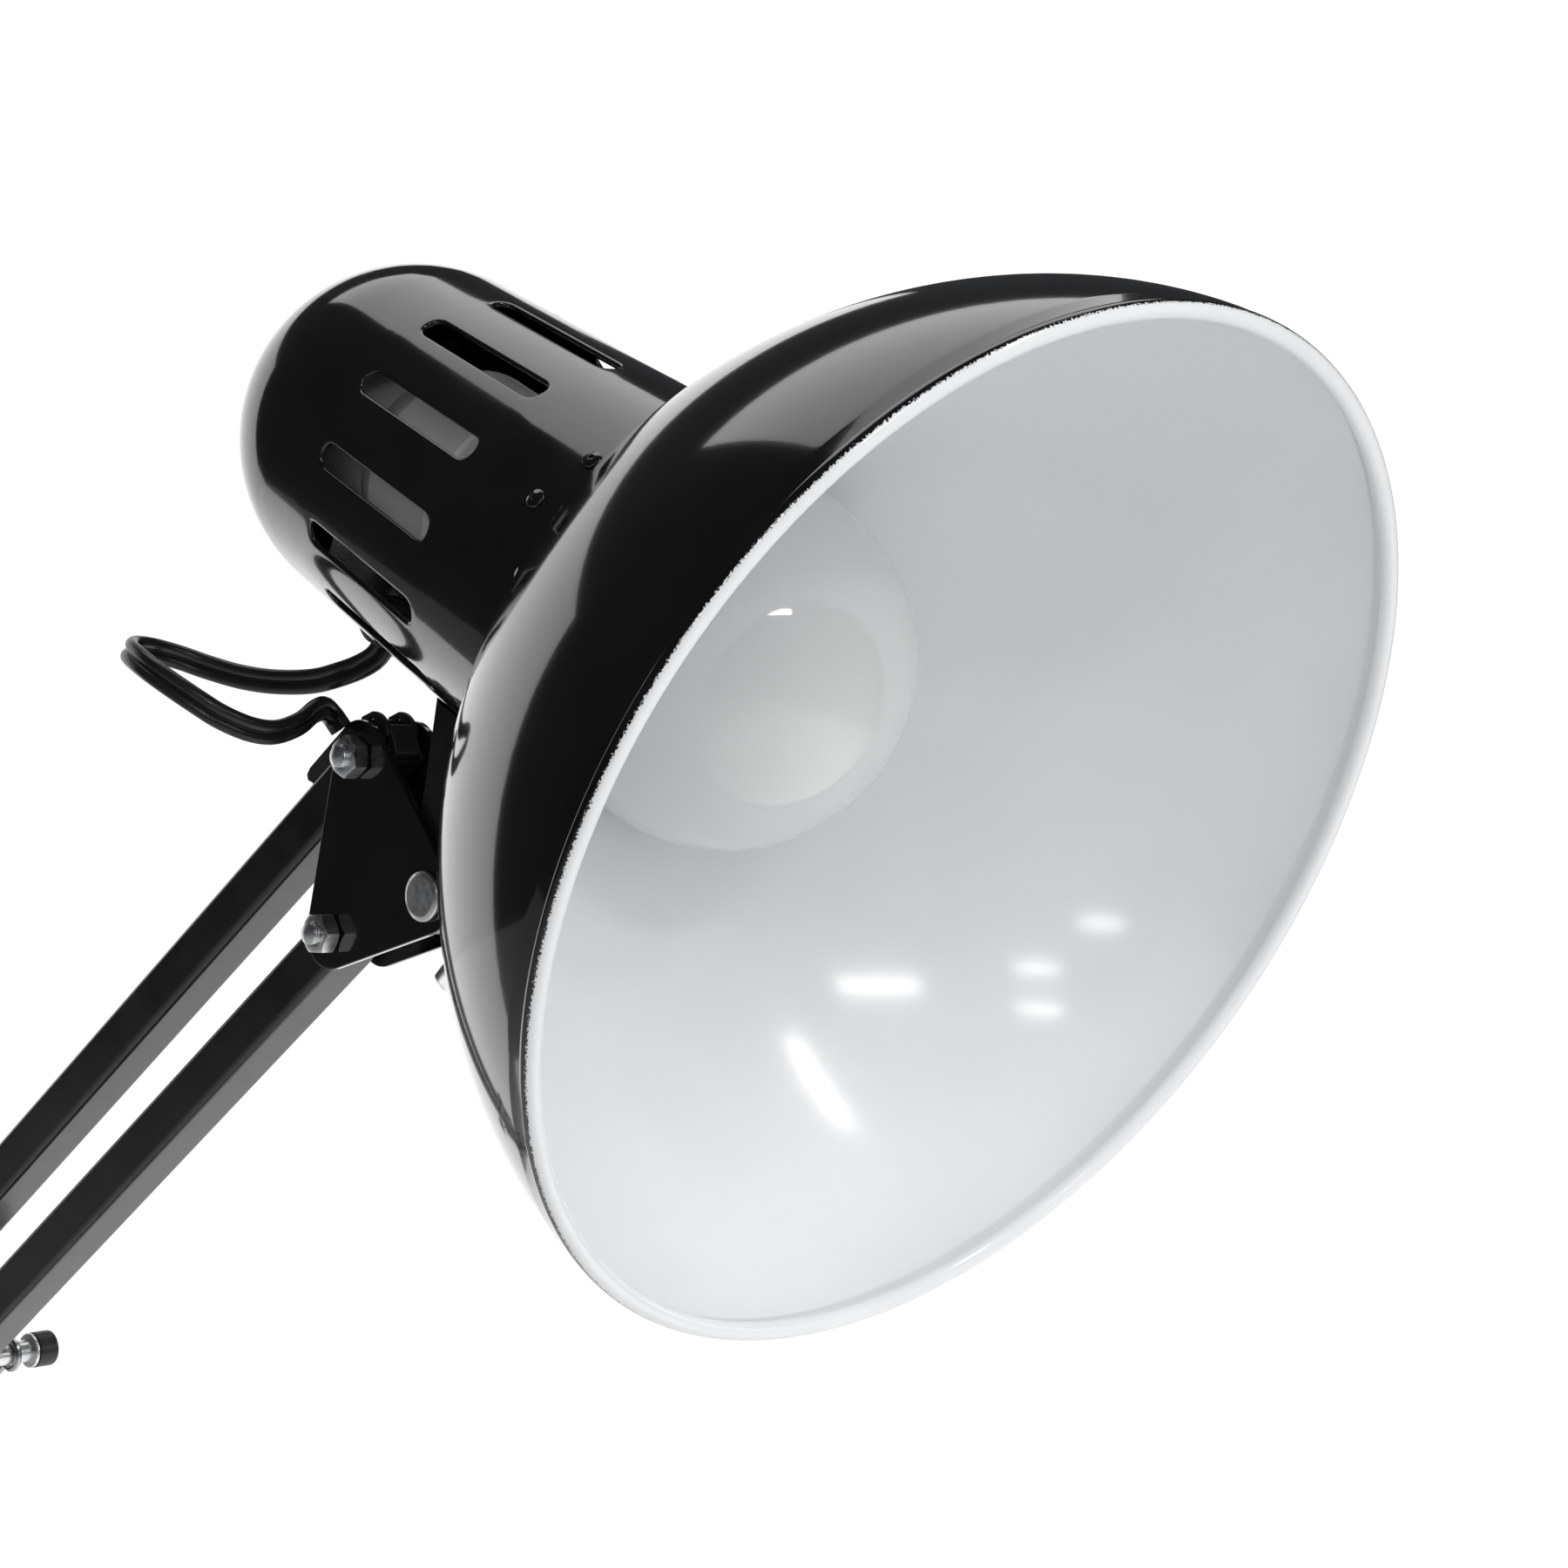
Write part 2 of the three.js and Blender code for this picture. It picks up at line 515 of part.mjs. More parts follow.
// Grommet in the housing's underside: a flanged sleeve around the flex.
const grommetFace = -housingRadius(GROMMET_AT);
const grommet = turnedRing([
  [2.7, 2.6], [3.4, 2.6], [3.4, -0.6], [5.6, -0.6], [5.6, -2.2], [4.4, -3.6], [2.7, -3.6],
], 16);
add('grommet', grommet.rotateY(Math.PI / 2).translate(grommetFace, 0, GROMMET_AT), BLACK_RUBBER, head);

// ---- Tilt joint: disc-headed bolt, tooth washer and wing nut ----
const NUT_FACE = PLATE_OUTER + 2 * GAP + 0.9;
add('tilt_bolt', join(
  crossRod(TILT_BOLT_RADIUS, -PLATE_OUTER - GAP - 0.4, 21, TILT, 14),
  crossRod(4.6, -PLATE_OUTER - GAP - 1.3, -PLATE_OUTER - GAP, TILT, 24)), ZINC);
const toothWasher = new THREE.Shape();
for (let k = 0; k < 24; k += 1) {
  const radius = k % 2 === 0 ? 7.4 : 6.2;
  const angle = (k / 24) * 2 * Math.PI;
  const [x, z] = [TILT[0] + radius * Math.cos(angle), TILT[1] + radius * Math.sin(angle)];
  if (k === 0) toothWasher.moveTo(x, z);
  else toothWasher.lineTo(x, z);
}
toothWasher.closePath();
withHoles(toothWasher, [[TILT, TILT_BOLT_RADIUS + GAP]]);
add('tilt_washer', slab(toothWasher, PLATE_OUTER + GAP, PLATE_OUTER + GAP + 0.9), ZINC);

// Wing outline: [distance from the axis, distance along it].
const wing = (side) => slab(polygon([
  [side * 3, 9], [side * 10, 10.6], [side * 18, 9], [side * 23.4, 8.6], [side * 26.2, 12], [side * 26, 16.6],
  [side * 20, 17], [side * 10, 15.2], [side * 3, 15.6],
]), -1, 1).rotateX(-Math.PI / 2);
const wingHub = crossRod(5.2, NUT_FACE, 16, [0, 0], 20);
const wingBore = crossRod(TILT_BOLT_RADIUS + GAP, 0, 30, [0, 0], 14);
const wingNut = geometryOf(
  solid(wingHub).add(solid(wing(1))).add(solid(wing(-1))).subtract(solid(wingBore)));
const WING_TURN = 45 * DEG;
const wingGroup = armGroup(TILT, WING_TURN);
add('wing_nut', wingNut, ZINC, wingGroup);

// ---- Base ----
add('base_pad', turned([[0, 0], [98, 0], [98, 2], [0, 2]], 36), BLACK_RUBBER);
const COVER_WALL = 1.5;
const COVER_LIP = 2 + GAP;
const coverOuter = [[BASE_RADIUS, COVER_LIP], [BASE_RADIUS, 7], [98.6, 9.6], [95, 11.4],
  [26, BASE_HEIGHT - 0.6], [20, BASE_HEIGHT], [8.4, BASE_HEIGHT]];
const coverInner = [[8.4, BASE_HEIGHT - COVER_WALL], [20, BASE_HEIGHT - COVER_WALL], [26, BASE_HEIGHT - 2.1],
  [95, 9.9], [97.4, 8.8], [BASE_RADIUS - COVER_WALL, 7], [BASE_RADIUS - COVER_WALL, COVER_LIP]];
add('base_cover', turnedRing([...coverOuter, ...coverInner], 36), BLACK_GLOSS);
add('base_weight', turnedRing([
  [8.4, COVER_LIP], [97, COVER_LIP], [97, 6.6], [94, 9.2], [26, 21.2], [8.4, 21.2],
], 28), CAST_IRON);
const BORE_FLOOR = 25;
const lockHole = new THREE.CylinderGeometry(2.8, 2.8, 20, 12).rotateZ(Math.PI / 2).translate(-14, 0, 38);
add('base_socket', cut(turned([
  [0, 7], [8, 7], [8, BASE_HEIGHT + GAP], [19, BASE_HEIGHT + GAP], [19, BASE_HEIGHT + 2.5],
  [15, BASE_HEIGHT + 5], [13, BASE_HEIGHT + 9], [13, SOCKET_TOP - 1], [12, SOCKET_TOP], [POST_RADIUS + GAP, SOCKET_TOP],
  [POST_RADIUS + GAP, BORE_FLOOR], [0, BORE_FLOOR],
], 24), lockHole), BLACK_SATIN);

const COLLAR = SOCKET_TOP + GAP;
const postPin = turned([
  [0, BORE_FLOOR + GAP], [POST_RADIUS - 0.8, BORE_FLOOR + GAP], [POST_RADIUS, BORE_FLOOR + 1.1],
  [POST_RADIUS, COLLAR], [10, COLLAR], [10, COLLAR + 3], [0, COLLAR + 3],
], 20);
const postBlock = block(-5, 13, -5.1, 5.1, COLLAR + 2, 68);
add('swivel_post', cut(join(postPin, postBlock), crossRod(PIN_RADIUS + GAP, -8, 8, BASE_ANCHOR)), ZINC);

const knob = new THREE.Shape();
for (let k = 0; k < 32; k += 1) {
  const radius = k % 2 === 0 ? 7.5 : 6.9;
  const angle = (k / 32) * 2 * Math.PI;
  if (k === 0) knob.moveTo(radius, 0);
  else knob.lineTo(radius * Math.cos(angle), radius * Math.sin(angle));
}
knob.closePath();
const knobHead = new THREE.ExtrudeGeometry(knob, { depth: 9, bevelEnabled: false })
  .rotateY(-Math.PI / 2).translate(-14.5, 0, 38);
const knobShank = new THREE.CylinderGeometry(2.5, 2.5, 11, 12).rotateZ(Math.PI / 2).translate(-13, 0, 38);
add('lock_screw', join(knobHead, knobShank), BLACK_PLASTIC);

// ---- Flex ----
// Each piece is a tube along points chosen by hand, with a step every 2 or 3 diameters.
function flex(name, points, radius = FLEX_RADIUS, steps = 0) {
  const path = new THREE.CatmullRomCurve3(points.map((p) => new THREE.Vector3(...p)), false, 'centripetal');
  const section = new THREE.Shape();
  section.absarc(0, 0, radius, 0, 2 * Math.PI);
  const count = steps || Math.max(2, Math.ceil(path.getLength() / (5 * radius)));
  const tube = new THREE.ExtrudeGeometry(section, { steps: count, extrudePath: path, curveSegments: 4 });
  add(name, tube, BLACK_RUBBER);
}
const from = (origin, points) => points.map(([x, y, z]) => [origin[0] + x, y, origin[1] + z]);
const inArm = (origin, angle, points) => points.map(([x, y, z]) => {
  const [px, pz] = along(origin, angle, x, z);
  return [px, y, pz];
});

// Inside the tubes the flex lies flat, above the pivot bolts.
const FLAT_RADIUS = 1.2;
const FLAT_RISE = 3.6;
const TUBE_MOUTH = TUBE_OVERHANG + GAP;
const flatRun = (start, end) => [start, (start + end) / 2, end].map((x) => [x, 0, FLAT_RISE]);
flex('upper_arm_flex', inArm(ELBOW_HIGH, UPPER_ANGLE, flatRun(FLEX_ENTRY - 5, -TUBE_MOUTH)), FLAT_RADIUS, 2);
flex('lower_arm_flex', inArm(BASE_REAR, LOWER_ANGLE, flatRun(ARM_LENGTH + TUBE_MOUTH, -TUBE_MOUTH)),
  FLAT_RADIUS, 2);

// One route in two pieces, each bending with a joint of its own. They meet a share of the way along it.
function flexPair(nameA, nameB, points, share) {
  const route = new THREE.CatmullRomCurve3(points.map((p) => new THREE.Vector3(...p)), false, 'centripetal');
  const half = FLEX_MEET / route.getLength();
  const piece = (u0, u1) => Array.from({ length: 13 }, (_, i) => route.getPointAt(u0 + ((u1 - u0) * i) / 12));
  flex(nameA, piece(0, share - half).map((p) => p.toArray()));
  flex(nameB, piece(share + half, 1).map((p) => p.toArray()));
}
const mouth = (origin, angle, x) => inArm(origin, angle, [[x, 0, FLAT_RISE]])[0];

// From the grommet, out behind the head and back into the guide on the upper bar.
flexPair('head_loop_flex', 'head_flex_end', from(HEAD_LOW, [
  [8, 0, 54], [6.2, -0.9, 51.6], [3.2, -2.1, 49.9], [-1.4, -3.5, 48.5], [-7, -5, 47.4], [-14.3, -7.9, 47.3],
  [-20.6, -11.2, 48.2], [-27, -14.6, 50.1], [-31.4, -18.8, 52.2], [-32.8, -23.4, 53.4], [-31, -28.8, 53.7],
  [-26, -33.4, 52.8], [-19.4, -36, 50.9], [-13.8, -36.6, 48.6], [-9.2, -35, 45.7], [-5.2, -32.5, 42.7],
  [-2.2, -29.6, 40.1], [0.4, -24.6, 37.8], [1.4, -20.2, 37.4], [1.6, -15, 39], [-0.4, -10, 41.4],
  [-3, -5.6, 42], [-4.5, -2.5, 40.6], [-3.9, -1, 38.3],
]), 0.85);

// Round the elbow, behind its plates.
flexPair('elbow_flex_upper', 'elbow_flex_lower', [
  mouth(ELBOW_HIGH, UPPER_ANGLE, -TUBE_MOUTH - GAP), mouth(ELBOW_HIGH, UPPER_ANGLE, -17), [-112.5, 0, 510],
  [-122, 0, 504.5], [-128.6, 0, 496], [-129.4, 0, 487], mouth(BASE_REAR, LOWER_ANGLE, ARM_LENGTH + 19),
  mouth(BASE_REAR, LOWER_ANGLE, ARM_LENGTH + TUBE_MOUTH + GAP),
], 0.58);

// The clip that holds the flex stands on the cover's slope. clipAt gives a point on its hole's axis.
const CLIP_X = -80;
const HOLE_RISE = 3.4;
const coverSlope = Math.atan2(BASE_HEIGHT - 0.6 - 11.4, 95 - 26);
const clipFoot = BASE_HEIGHT - 0.6 - (-CLIP_X - 26) * Math.tan(coverSlope) + GAP + 0.1;
const clipAt = (x) => {
  const [px, pz] = along([CLIP_X, clipFoot], coverSlope, x, HOLE_RISE);
  return [px, 0, pz];
};

// From the lower bar's end over the base's cover to the clip at its back.
flexPair('base_flex', 'swivel_flex', [
  mouth(BASE_REAR, LOWER_ANGLE, -TUBE_MOUTH - GAP), [-13.7, 0, 66], [-14, 0, 60.5], [-17.2, 0, 55.2],
  [-23, 0, 50.8], [-32, 0, 45.4], [-42, 0, 38.6], [-53, 0, 29.5], [-62, 0, 23], [-68.5, 0, 19.9], clipAt(6),
], 0.4);
const clipOutline = new THREE.Shape();
clipOutline.moveTo(-6, 0);
clipOutline.lineTo(6, 0);
clipOutline.lineTo(6, 2);
clipOutline.absarc(0, HOLE_RISE, 4.6, 0, Math.PI);
clipOutline.lineTo(-6, 2);
clipOutline.closePath();
const clipHole = new THREE.Path();
clipHole.absarc(0, HOLE_RISE, FLEX_RADIUS + GAP + 0.1, 0, 2 * Math.PI, true);
clipOutline.holes.push(clipHole);
const clip = new THREE.ExtrudeGeometry(clipOutline, { depth: 9, bevelEnabled: false, curveSegments: 6 });
clip.applyMatrix4(ALONG_X).translate(-4.5, 0, 0);
const clipMesh = add('flex_clip', clip, BLACK_PLASTIC);
clipMesh.position.set(CLIP_X, 0, clipFoot);
clipMesh.rotation.y = -coverSlope;

// The supply flex: through the clip, down to the table, through the switch and up to the coil.
const SWITCH_X = -150;
const SWITCH_LENGTH = 60;
const SWITCH_HEIGHT = 7.2;
const TABLE_HEIGHT = FLEX_RADIUS + GAP;
flex('supply_flex', [
  clipAt(5.5), clipAt(0), clipAt(-6), clipAt(-12), [-98.5, 0, 14.3], [-104, 0, 11.8],
  [-109, 0, 8.8], [-115, 0, 7.4], [-121, 0, SWITCH_HEIGHT], [-150, 0, SWITCH_HEIGHT],
  [-179, 0, SWITCH_HEIGHT],
  [-185, 0.3, 6.2], [-193, 2.4, 3.9], [-200.5, 7.6, 2.9], [-206.5, 16, TABLE_HEIGHT],
  [-210.5, 27, TABLE_HEIGHT],
  [-212.3, 40, TABLE_HEIGHT], [-212.6, 54, TABLE_HEIGHT], [-212.5, 66, TABLE_HEIGHT],
  [-212.4, 78, TABLE_HEIGHT],
], FLEX_RADIUS, 32);

const COIL = [-176, 82];
add('supply_coil', turnedRing([[19.3, GAP], [33.7, GAP], [33.7, GAP + 14.4], [19.3, GAP + 14.4]], 28)
  .translate(COIL[0], COIL[1], 0), BLACK_RUBBER);

// Inline rocker switch, lying on the flex behind the base.
const switchOutline = new THREE.Shape();
switchOutline.moveTo(-SWITCH_LENGTH / 2, -4.5);
switchOutline.bezierCurveTo(-22, -5, -20, -10, -12, -10);
switchOutline.lineTo(12, -10);
switchOutline.bezierCurveTo(20, -10, 22, -5, SWITCH_LENGTH / 2, -4.5);
switchOutline.lineTo(SWITCH_LENGTH / 2, 4.5);
switchOutline.bezierCurveTo(22, 5, 20, 10, 12, 10);
switchOutline.lineTo(-12, 10);
switchOutline.bezierCurveTo(-20, 10, -22, 5, -SWITCH_LENGTH / 2, 4.5);
switchOutline.closePath();
const switchBlock = new THREE.ExtrudeGeometry(switchOutline,
  { depth: 14.2, bevelEnabled: false, curveSegments: 6 });
const channel = new THREE.CylinderGeometry(2.8, 2.8, 80, 16)
  .rotateZ(Math.PI / 2).translate(0, 0, SWITCH_HEIGHT);
add('switch_body', cut(switchBlock.translate(0, 0, GAP), channel, block(-7.8, 7.8, -5, 5, 10.8, 20))
  .translate(SWITCH_X, 0, 0), BLACK_PLASTIC);
const rocker = add('switch_rocker', slab(polygon([
  [-7, -0.4], [0, -1.6], [7, -0.4], [7.2, 3.4], [0, 2.4], [-7.2, 3.4],
]), -4.6, 4.6), BLACK_PLASTIC);
rocker.position.set(SWITCH_X, 0, 12.9);
rocker.rotation.y = 6 * DEG;

// Two-blade plug beside the coil.
const plugAxis = [COIL[0] + 36.7, 7.3];
const relief = new THREE.CylinderGeometry(2.7, 4.6, 20, 16).translate(0, 10, 0);
const plugOutline = new THREE.Shape();
plugOutline.moveTo(-8, 0.5);
plugOutline.bezierCurveTo(-12.5, -6, -12.5, -12, -12.5, -28);
plugOutline.lineTo(12.5, -28);
plugOutline.bezierCurveTo(12.5, -12, 12.5, -6, 8, 0.5);
plugOutline.closePath();
const plugBlock = new THREE.ExtrudeGeometry(plugOutline,
  { depth: 13.6, bevelEnabled: false, curveSegments: 5 })
  .translate(0, 0, -6.8);
const blade = (x) => block(x - 0.75, x + 0.75, -45, -27, -3.2, 3.2);
add('plug', join(plugBlock, relief, blade(-6.35), blade(6.35)).translate(plugAxis[0], 58, plugAxis[1]),
  BLACK_RUBBER);

export default lamp;
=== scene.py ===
"""Looks for the swing arm desk lamp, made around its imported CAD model.

Shapes are made in millimetres and placed in metres. Local Z is the axis of everything that is turned.
"""
import json
import math

import bmesh
import bpy
from mathutils import Matrix, Vector


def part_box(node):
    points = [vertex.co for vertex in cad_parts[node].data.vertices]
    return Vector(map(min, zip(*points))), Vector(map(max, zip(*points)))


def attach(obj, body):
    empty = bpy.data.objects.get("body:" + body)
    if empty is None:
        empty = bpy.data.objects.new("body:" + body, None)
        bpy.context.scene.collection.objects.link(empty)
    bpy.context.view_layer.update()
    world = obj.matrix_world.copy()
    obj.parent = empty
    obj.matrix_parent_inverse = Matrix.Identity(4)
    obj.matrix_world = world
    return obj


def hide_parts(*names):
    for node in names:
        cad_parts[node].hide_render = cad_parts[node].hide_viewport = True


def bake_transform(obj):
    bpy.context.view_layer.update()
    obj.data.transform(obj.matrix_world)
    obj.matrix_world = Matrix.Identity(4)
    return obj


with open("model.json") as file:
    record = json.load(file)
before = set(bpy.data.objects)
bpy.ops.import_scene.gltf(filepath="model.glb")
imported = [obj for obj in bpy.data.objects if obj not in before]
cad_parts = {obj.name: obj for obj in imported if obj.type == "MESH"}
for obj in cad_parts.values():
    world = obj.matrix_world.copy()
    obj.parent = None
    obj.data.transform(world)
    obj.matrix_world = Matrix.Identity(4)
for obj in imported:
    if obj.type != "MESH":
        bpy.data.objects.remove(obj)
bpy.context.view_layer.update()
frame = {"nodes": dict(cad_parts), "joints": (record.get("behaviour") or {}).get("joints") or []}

MM = 0.001
TAU = 2 * math.pi
UNIT = Matrix.Identity(4)
rad = math.radians


# ---- Places, from the frame ----
JOINTS = {joint["name"]: joint for joint in frame["joints"]}


def pivot(name):
    return Vector(JOINTS[name]["pos_m"]) / MM


def box(node):
    return [Vector(corner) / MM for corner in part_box(node)]


def centre(node):
    low, high = box(node)
    return (low + high) / 2


BASE_REAR = pivot("lower_arm")
BASE_FRONT = pivot("lower_front_follow")
ELBOW_REAR = pivot("elbow_level")
ELBOW_FRONT = BASE_FRONT + ELBOW_REAR - BASE_REAR
ELBOW_HIGH = pivot("upper_arm")
ELBOW_LOW = pivot("upper_bottom_follow")
HEAD_HIGH = pivot("head_level")
HEAD_LOW = ELBOW_LOW + HEAD_HIGH - ELBOW_HIGH
TILT = pivot("head_tilt")
BASE_ANCHOR = centre("base_anchor_pin")
ELBOW_ANCHOR = centre("elbow_anchor_pin")
UPPER_PIN = centre("upper_spring_pin")
LOWER_PIN = centre("lower_spring_pin")


def slope(start, end):
    return math.atan2(end.z - start.z, end.x - start.x)


UPPER_ANGLE = slope(ELBOW_HIGH, HEAD_HIGH)
LOWER_ANGLE = slope(BASE_REAR, ELBOW_REAR)
ARM_LENGTH = (HEAD_HIGH - ELBOW_HIGH).length

RIM = HEAD_LOW + Vector((158.6, 0, 17.1))
HEAD_DROP = rad(27.7)

# ---- Sizes, as in the CAD model ----
GAP = 0.3
TUBE = 10
TUBE_WALL = 0.9
TUBE_CORNER = 1.6
TUBE_OVERHANG = 9
GUIDED_OVERHANG = 4
TUBE_RISE = 0.9
PLATE_INNER = 5.4
PLATE_THICK = 1.5
PLATE_CORNER = 6.9
PLATE_OUTER = PLATE_INNER + PLATE_THICK
BOLT_RADIUS = 2
NUT_FLATS = 7
NUT_HEIGHT = 3.2
TILT_BOLT_RADIUS = 2.5
SPRING_SIDE = 14.5
SPRING_RADIUS = 4.4
SPRING_HOOK = 24
WIRE_RADIUS = 0.8
PIN_RADIUS = 2.5
PIN_HALF = 24
SHADE_RADIUS = 89
SHADE_DEPTH = 88.3
BOWL_POWER = 1.8
SHADE_WALL = 1.1
BEAD_RADIUS = 1.5
NECK_RADIUS = 34.3
NECK_END = 91
HOUSING_FRONT = 79
DOME_CENTRE = 158.4
HOUSING_FRONT_RADIUS = 36.1
DOME_RADIUS = 32.8
HOUSING_WALL = 1
SLOT_SPACES = 14
SOLID_SPACES = (7, 8)
SLOT_START = 109.5
SLOT_END = 143.4
SLOT_WIDTH = 4.7
SLOT_PHASE = rad(-9.4)
BULB_CENTRE = 68
BULB_RADIUS = 32
CAP_RADIUS = 13.2
GROMMET_AT = 150.5
FLEX_WIDTH = 4.8
CORE_RADIUS = 1.22
BASE_RADIUS = 100
BASE_HEIGHT = 24
SOCKET_TOP = 48
POST_RADIUS = 6
CLIP_X = -80
SWITCH_X = -150


# ---- Frames: where a shape made about its own origin is put, in metres ----
def shifted(point):
    return Matrix.Translation(Vector(point) * MM)


def arm_frame(point, angle=0):
    """X runs along the arm, Z to its upper side."""
    return shifted(point) @ Matrix.Rotation(-angle, 4, "Y")


def turned(degrees, axis):
    return Matrix.Rotation(rad(degrees), 4, axis)


def cross_frame(point, turn=0):
    """Z runs along world +Y, the axis of every arm pivot. The turn about it is in degrees."""
    return shifted(point) @ turned(-90, "X") @ turned(turn, "Z")


def axes(u, v, w):
    """The turn that takes X, Y and Z to u, v and w."""
    return Matrix((u, v, w)).transposed().to_4x4()


# X is the head's top side, and Z runs back from the rim along its axis.
HEAD = shifted(RIM) @ Matrix.Rotation(HEAD_DROP - rad(90), 4, "Y")
ALONG_X = axes((0, 1, 0), (0, 0, 1), (1, 0, 0))
SIDEWAYS = axes((1, 0, 0), (0, 0, 1), (0, -1, 0))      # an XY outline stands in XZ, its thickness along -Y


# ---- Mesh making ----
def added(name, data):
    obj = bpy.data.objects.new(name, data)
    bpy.context.collection.objects.link(obj)
    return obj


def loft(bm, rings, wrap=False, caps=False, place=UNIT):
    """Skin rings of points, one point standing for a pole. wrap joins the last ring to the first."""
    made = [[bm.verts.new(place @ Vector(point)) for point in ring] for ring in rings]
    pairs = list(zip(made, made[1:]))
    if wrap:
        pairs.append((made[-1], made[0]))
    for lower, upper in pairs:
        count = max(len(lower), len(upper))
        for i in range(count):
            j = (i + 1) % count
            corners = [edge[k % len(edge)] for edge, k in ((lower, i), (lower, j), (upper, j), (upper, i))]
            bm.faces.new(list(dict.fromkeys(corners)))
    if caps:
        bm.faces.new(made[0])
        bm.faces.new(made[-1])


def polar(radius, angle, *height):
    return (radius * math.cos(angle), radius * math.sin(angle), *height)


def ring(radius, height, segments):
    if radius < 1e-6:
        return [(0, 0, height)]
    return [polar(radius, TAU * i / segments, height) for i in range(segments)]


def rounded(points, steps=4):
    """A polyline of (a, b, fillet) points with its corners rounded. The fillet may be left out."""
    out = []
    for i, point in enumerate(points):
        corner = Vector(point[:2])
        fillet = point[2] if len(point) > 2 else 0
        if not fillet or i in (0, len(points) - 1):
            out.append(tuple(corner))
            continue
        before = (Vector(points[i - 1][:2]) - corner).normalized()
        after = (Vector(points[i + 1][:2]) - corner).normalized()
        half = before.angle(after) / 2
        reach = fillet / math.tan(half)
        middle = corner + (before + after).normalized() * fillet / math.sin(half)
        start = corner + before * reach - middle
        end = corner + after * reach - middle
        turn = math.atan2(start.x * end.y - start.y * end.x, start.dot(end))
        for k in range(steps + 1):
            out.append(tuple(middle + Matrix.Rotation(turn * k / steps, 2) @ start))
    return out


def rounded_loop(points, steps=4):
    """The same for a closed outline."""
    return rounded([points[-1], *points, points[0]], steps)[1:-1]


def rectangle(left, low, right, high, fillet, steps=4):
    corners = ((left, low), (right, low), (right, high), (left, high))
    return rounded_loop([(x, y, fillet) for x, y in corners], steps)


def lathe(bm, profile, segments=64, closed=False, place=UNIT, steps=4):
    outline = rounded_loop(profile, steps) if closed else rounded(profile, steps)
    loft(bm, [ring(r, z, segments) for r, z in outline], wrap=closed, place=place)


def rod(bm, radius, low, high, segments=32, place=UNIT):
    lathe(bm, [(0, low), (radius, low), (radius, high), (0, high)], segments, place=place)


def arc(middle, radius, start, end, steps):
    turns = [polar(radius, start + (end - start) * k / steps) for k in range(steps + 1)]
    return [(middle[0] + x, middle[1] + y) for x, y in turns]


def band(corners, radii, steps=18):
    """The outline of discs at convex corners, given counterclockwise, wrapped by a taut band."""
    def facing(p, q, rp, rq):
        run = Vector(q) - Vector(p)
        return math.atan2(run.y, run.x) - rad(90) - math.asin((rq - rp) / run.length)
    outline = []
    count = len(corners)
    for i, corner in enumerate(corners):
        before, after = (i - 1) % count, (i + 1) % count
        start = facing(corners[before], corner, radii[before], radii[i])
        end = facing(corner, corners[after], radii[i], radii[after])
        outline += arc(corner, radii[i], start, start + (end - start) % TAU, steps)
    return outline


def circle(middle, radius, steps=32):
    return arc(middle, radius, 0, TAU, steps)[:-1]


def plate(bm, outline, low, high, holes=(), edge=0.2, place=UNIT):
    """An XY outline with holes, from Z low to high, its edges rounded."""
    curve = bpy.data.curves.new("outline", "CURVE")
    curve.dimensions = "2D"
    curve.fill_mode = "BOTH"
    curve.extrude = (high - low) / 2 - edge
    curve.bevel_depth = edge
    curve.bevel_resolution = 2
    curve.offset = -edge
    for loop in [outline, *holes]:
        spline = curve.splines.new("POLY")
        spline.points.add(len(loop) - 1)
        for point, (x, y) in zip(spline.points, loop):
            point.co = (x, y, 0, 1)
        spline.use_cyclic_u = True
    holder = added("outline", curve)
    bpy.context.view_layer.update()
    mesh = bpy.data.meshes.new_from_object(holder.evaluated_get(bpy.context.evaluated_depsgraph_get()))
    bpy.data.objects.remove(holder)
    bpy.data.curves.remove(curve)
    mesh.transform(place @ Matrix.Translation((0, 0, (low + high) / 2)))
    sheet = bmesh.new()
    sheet.from_mesh(mesh)
    bmesh.ops.remove_doubles(sheet, verts=sheet.verts, dist=1e-4)
    sheet.to_mesh(mesh)
    sheet.free()
    bm.from_mesh(mesh)
    bpy.data.meshes.remove(mesh)


# ---- Routes of wire and flex ----
def smooth_route(points, spacing):
    """A centripetal Catmull-Rom curve through the points, as evenly spaced points."""
    given = [Vector(p) for p in points]
    given = [given[0] * 2 - given[1], *given, given[-1] * 2 - given[-2]]
    dense = []
    for i in range(1, len(given) - 2):
        p = given[i - 1:i + 3]
        knots = [0.0]
        for a, b in zip(p, p[1:]):
            knots.append(knots[-1] + max((b - a).length, 1e-6) ** 0.5)
        for k in range(24):
            t = knots[1] + (knots[2] - knots[1]) * k / 24
            level = p
            for spans in ([(0, 1), (1, 2), (2, 3)], [(0, 2), (1, 3)], [(1, 2)]):
                level = [a.lerp(b, (t - knots[i]) / (knots[j] - knots[i]))
                         for (i, j), a, b in zip(spans, level, level[1:])]
            dense.append(level[0])
    return even([*dense, given[-2]], spacing)


def even(points, spacing):
    lengths = [0.0]
    for a, b in zip(points, points[1:]):
        lengths.append(lengths[-1] + (b - a).length)
    count = max(2, round(lengths[-1] / spacing))
    out = []
    j = 0
    for i in range(count + 1):
        target = lengths[-1] * i / count
        while j < len(points) - 2 and lengths[j + 1] < target:
            j += 1
        step = lengths[j + 1] - lengths[j]
        out.append(points[j].lerp(points[j + 1], (target - lengths[j]) / step if step else 0))
    return out


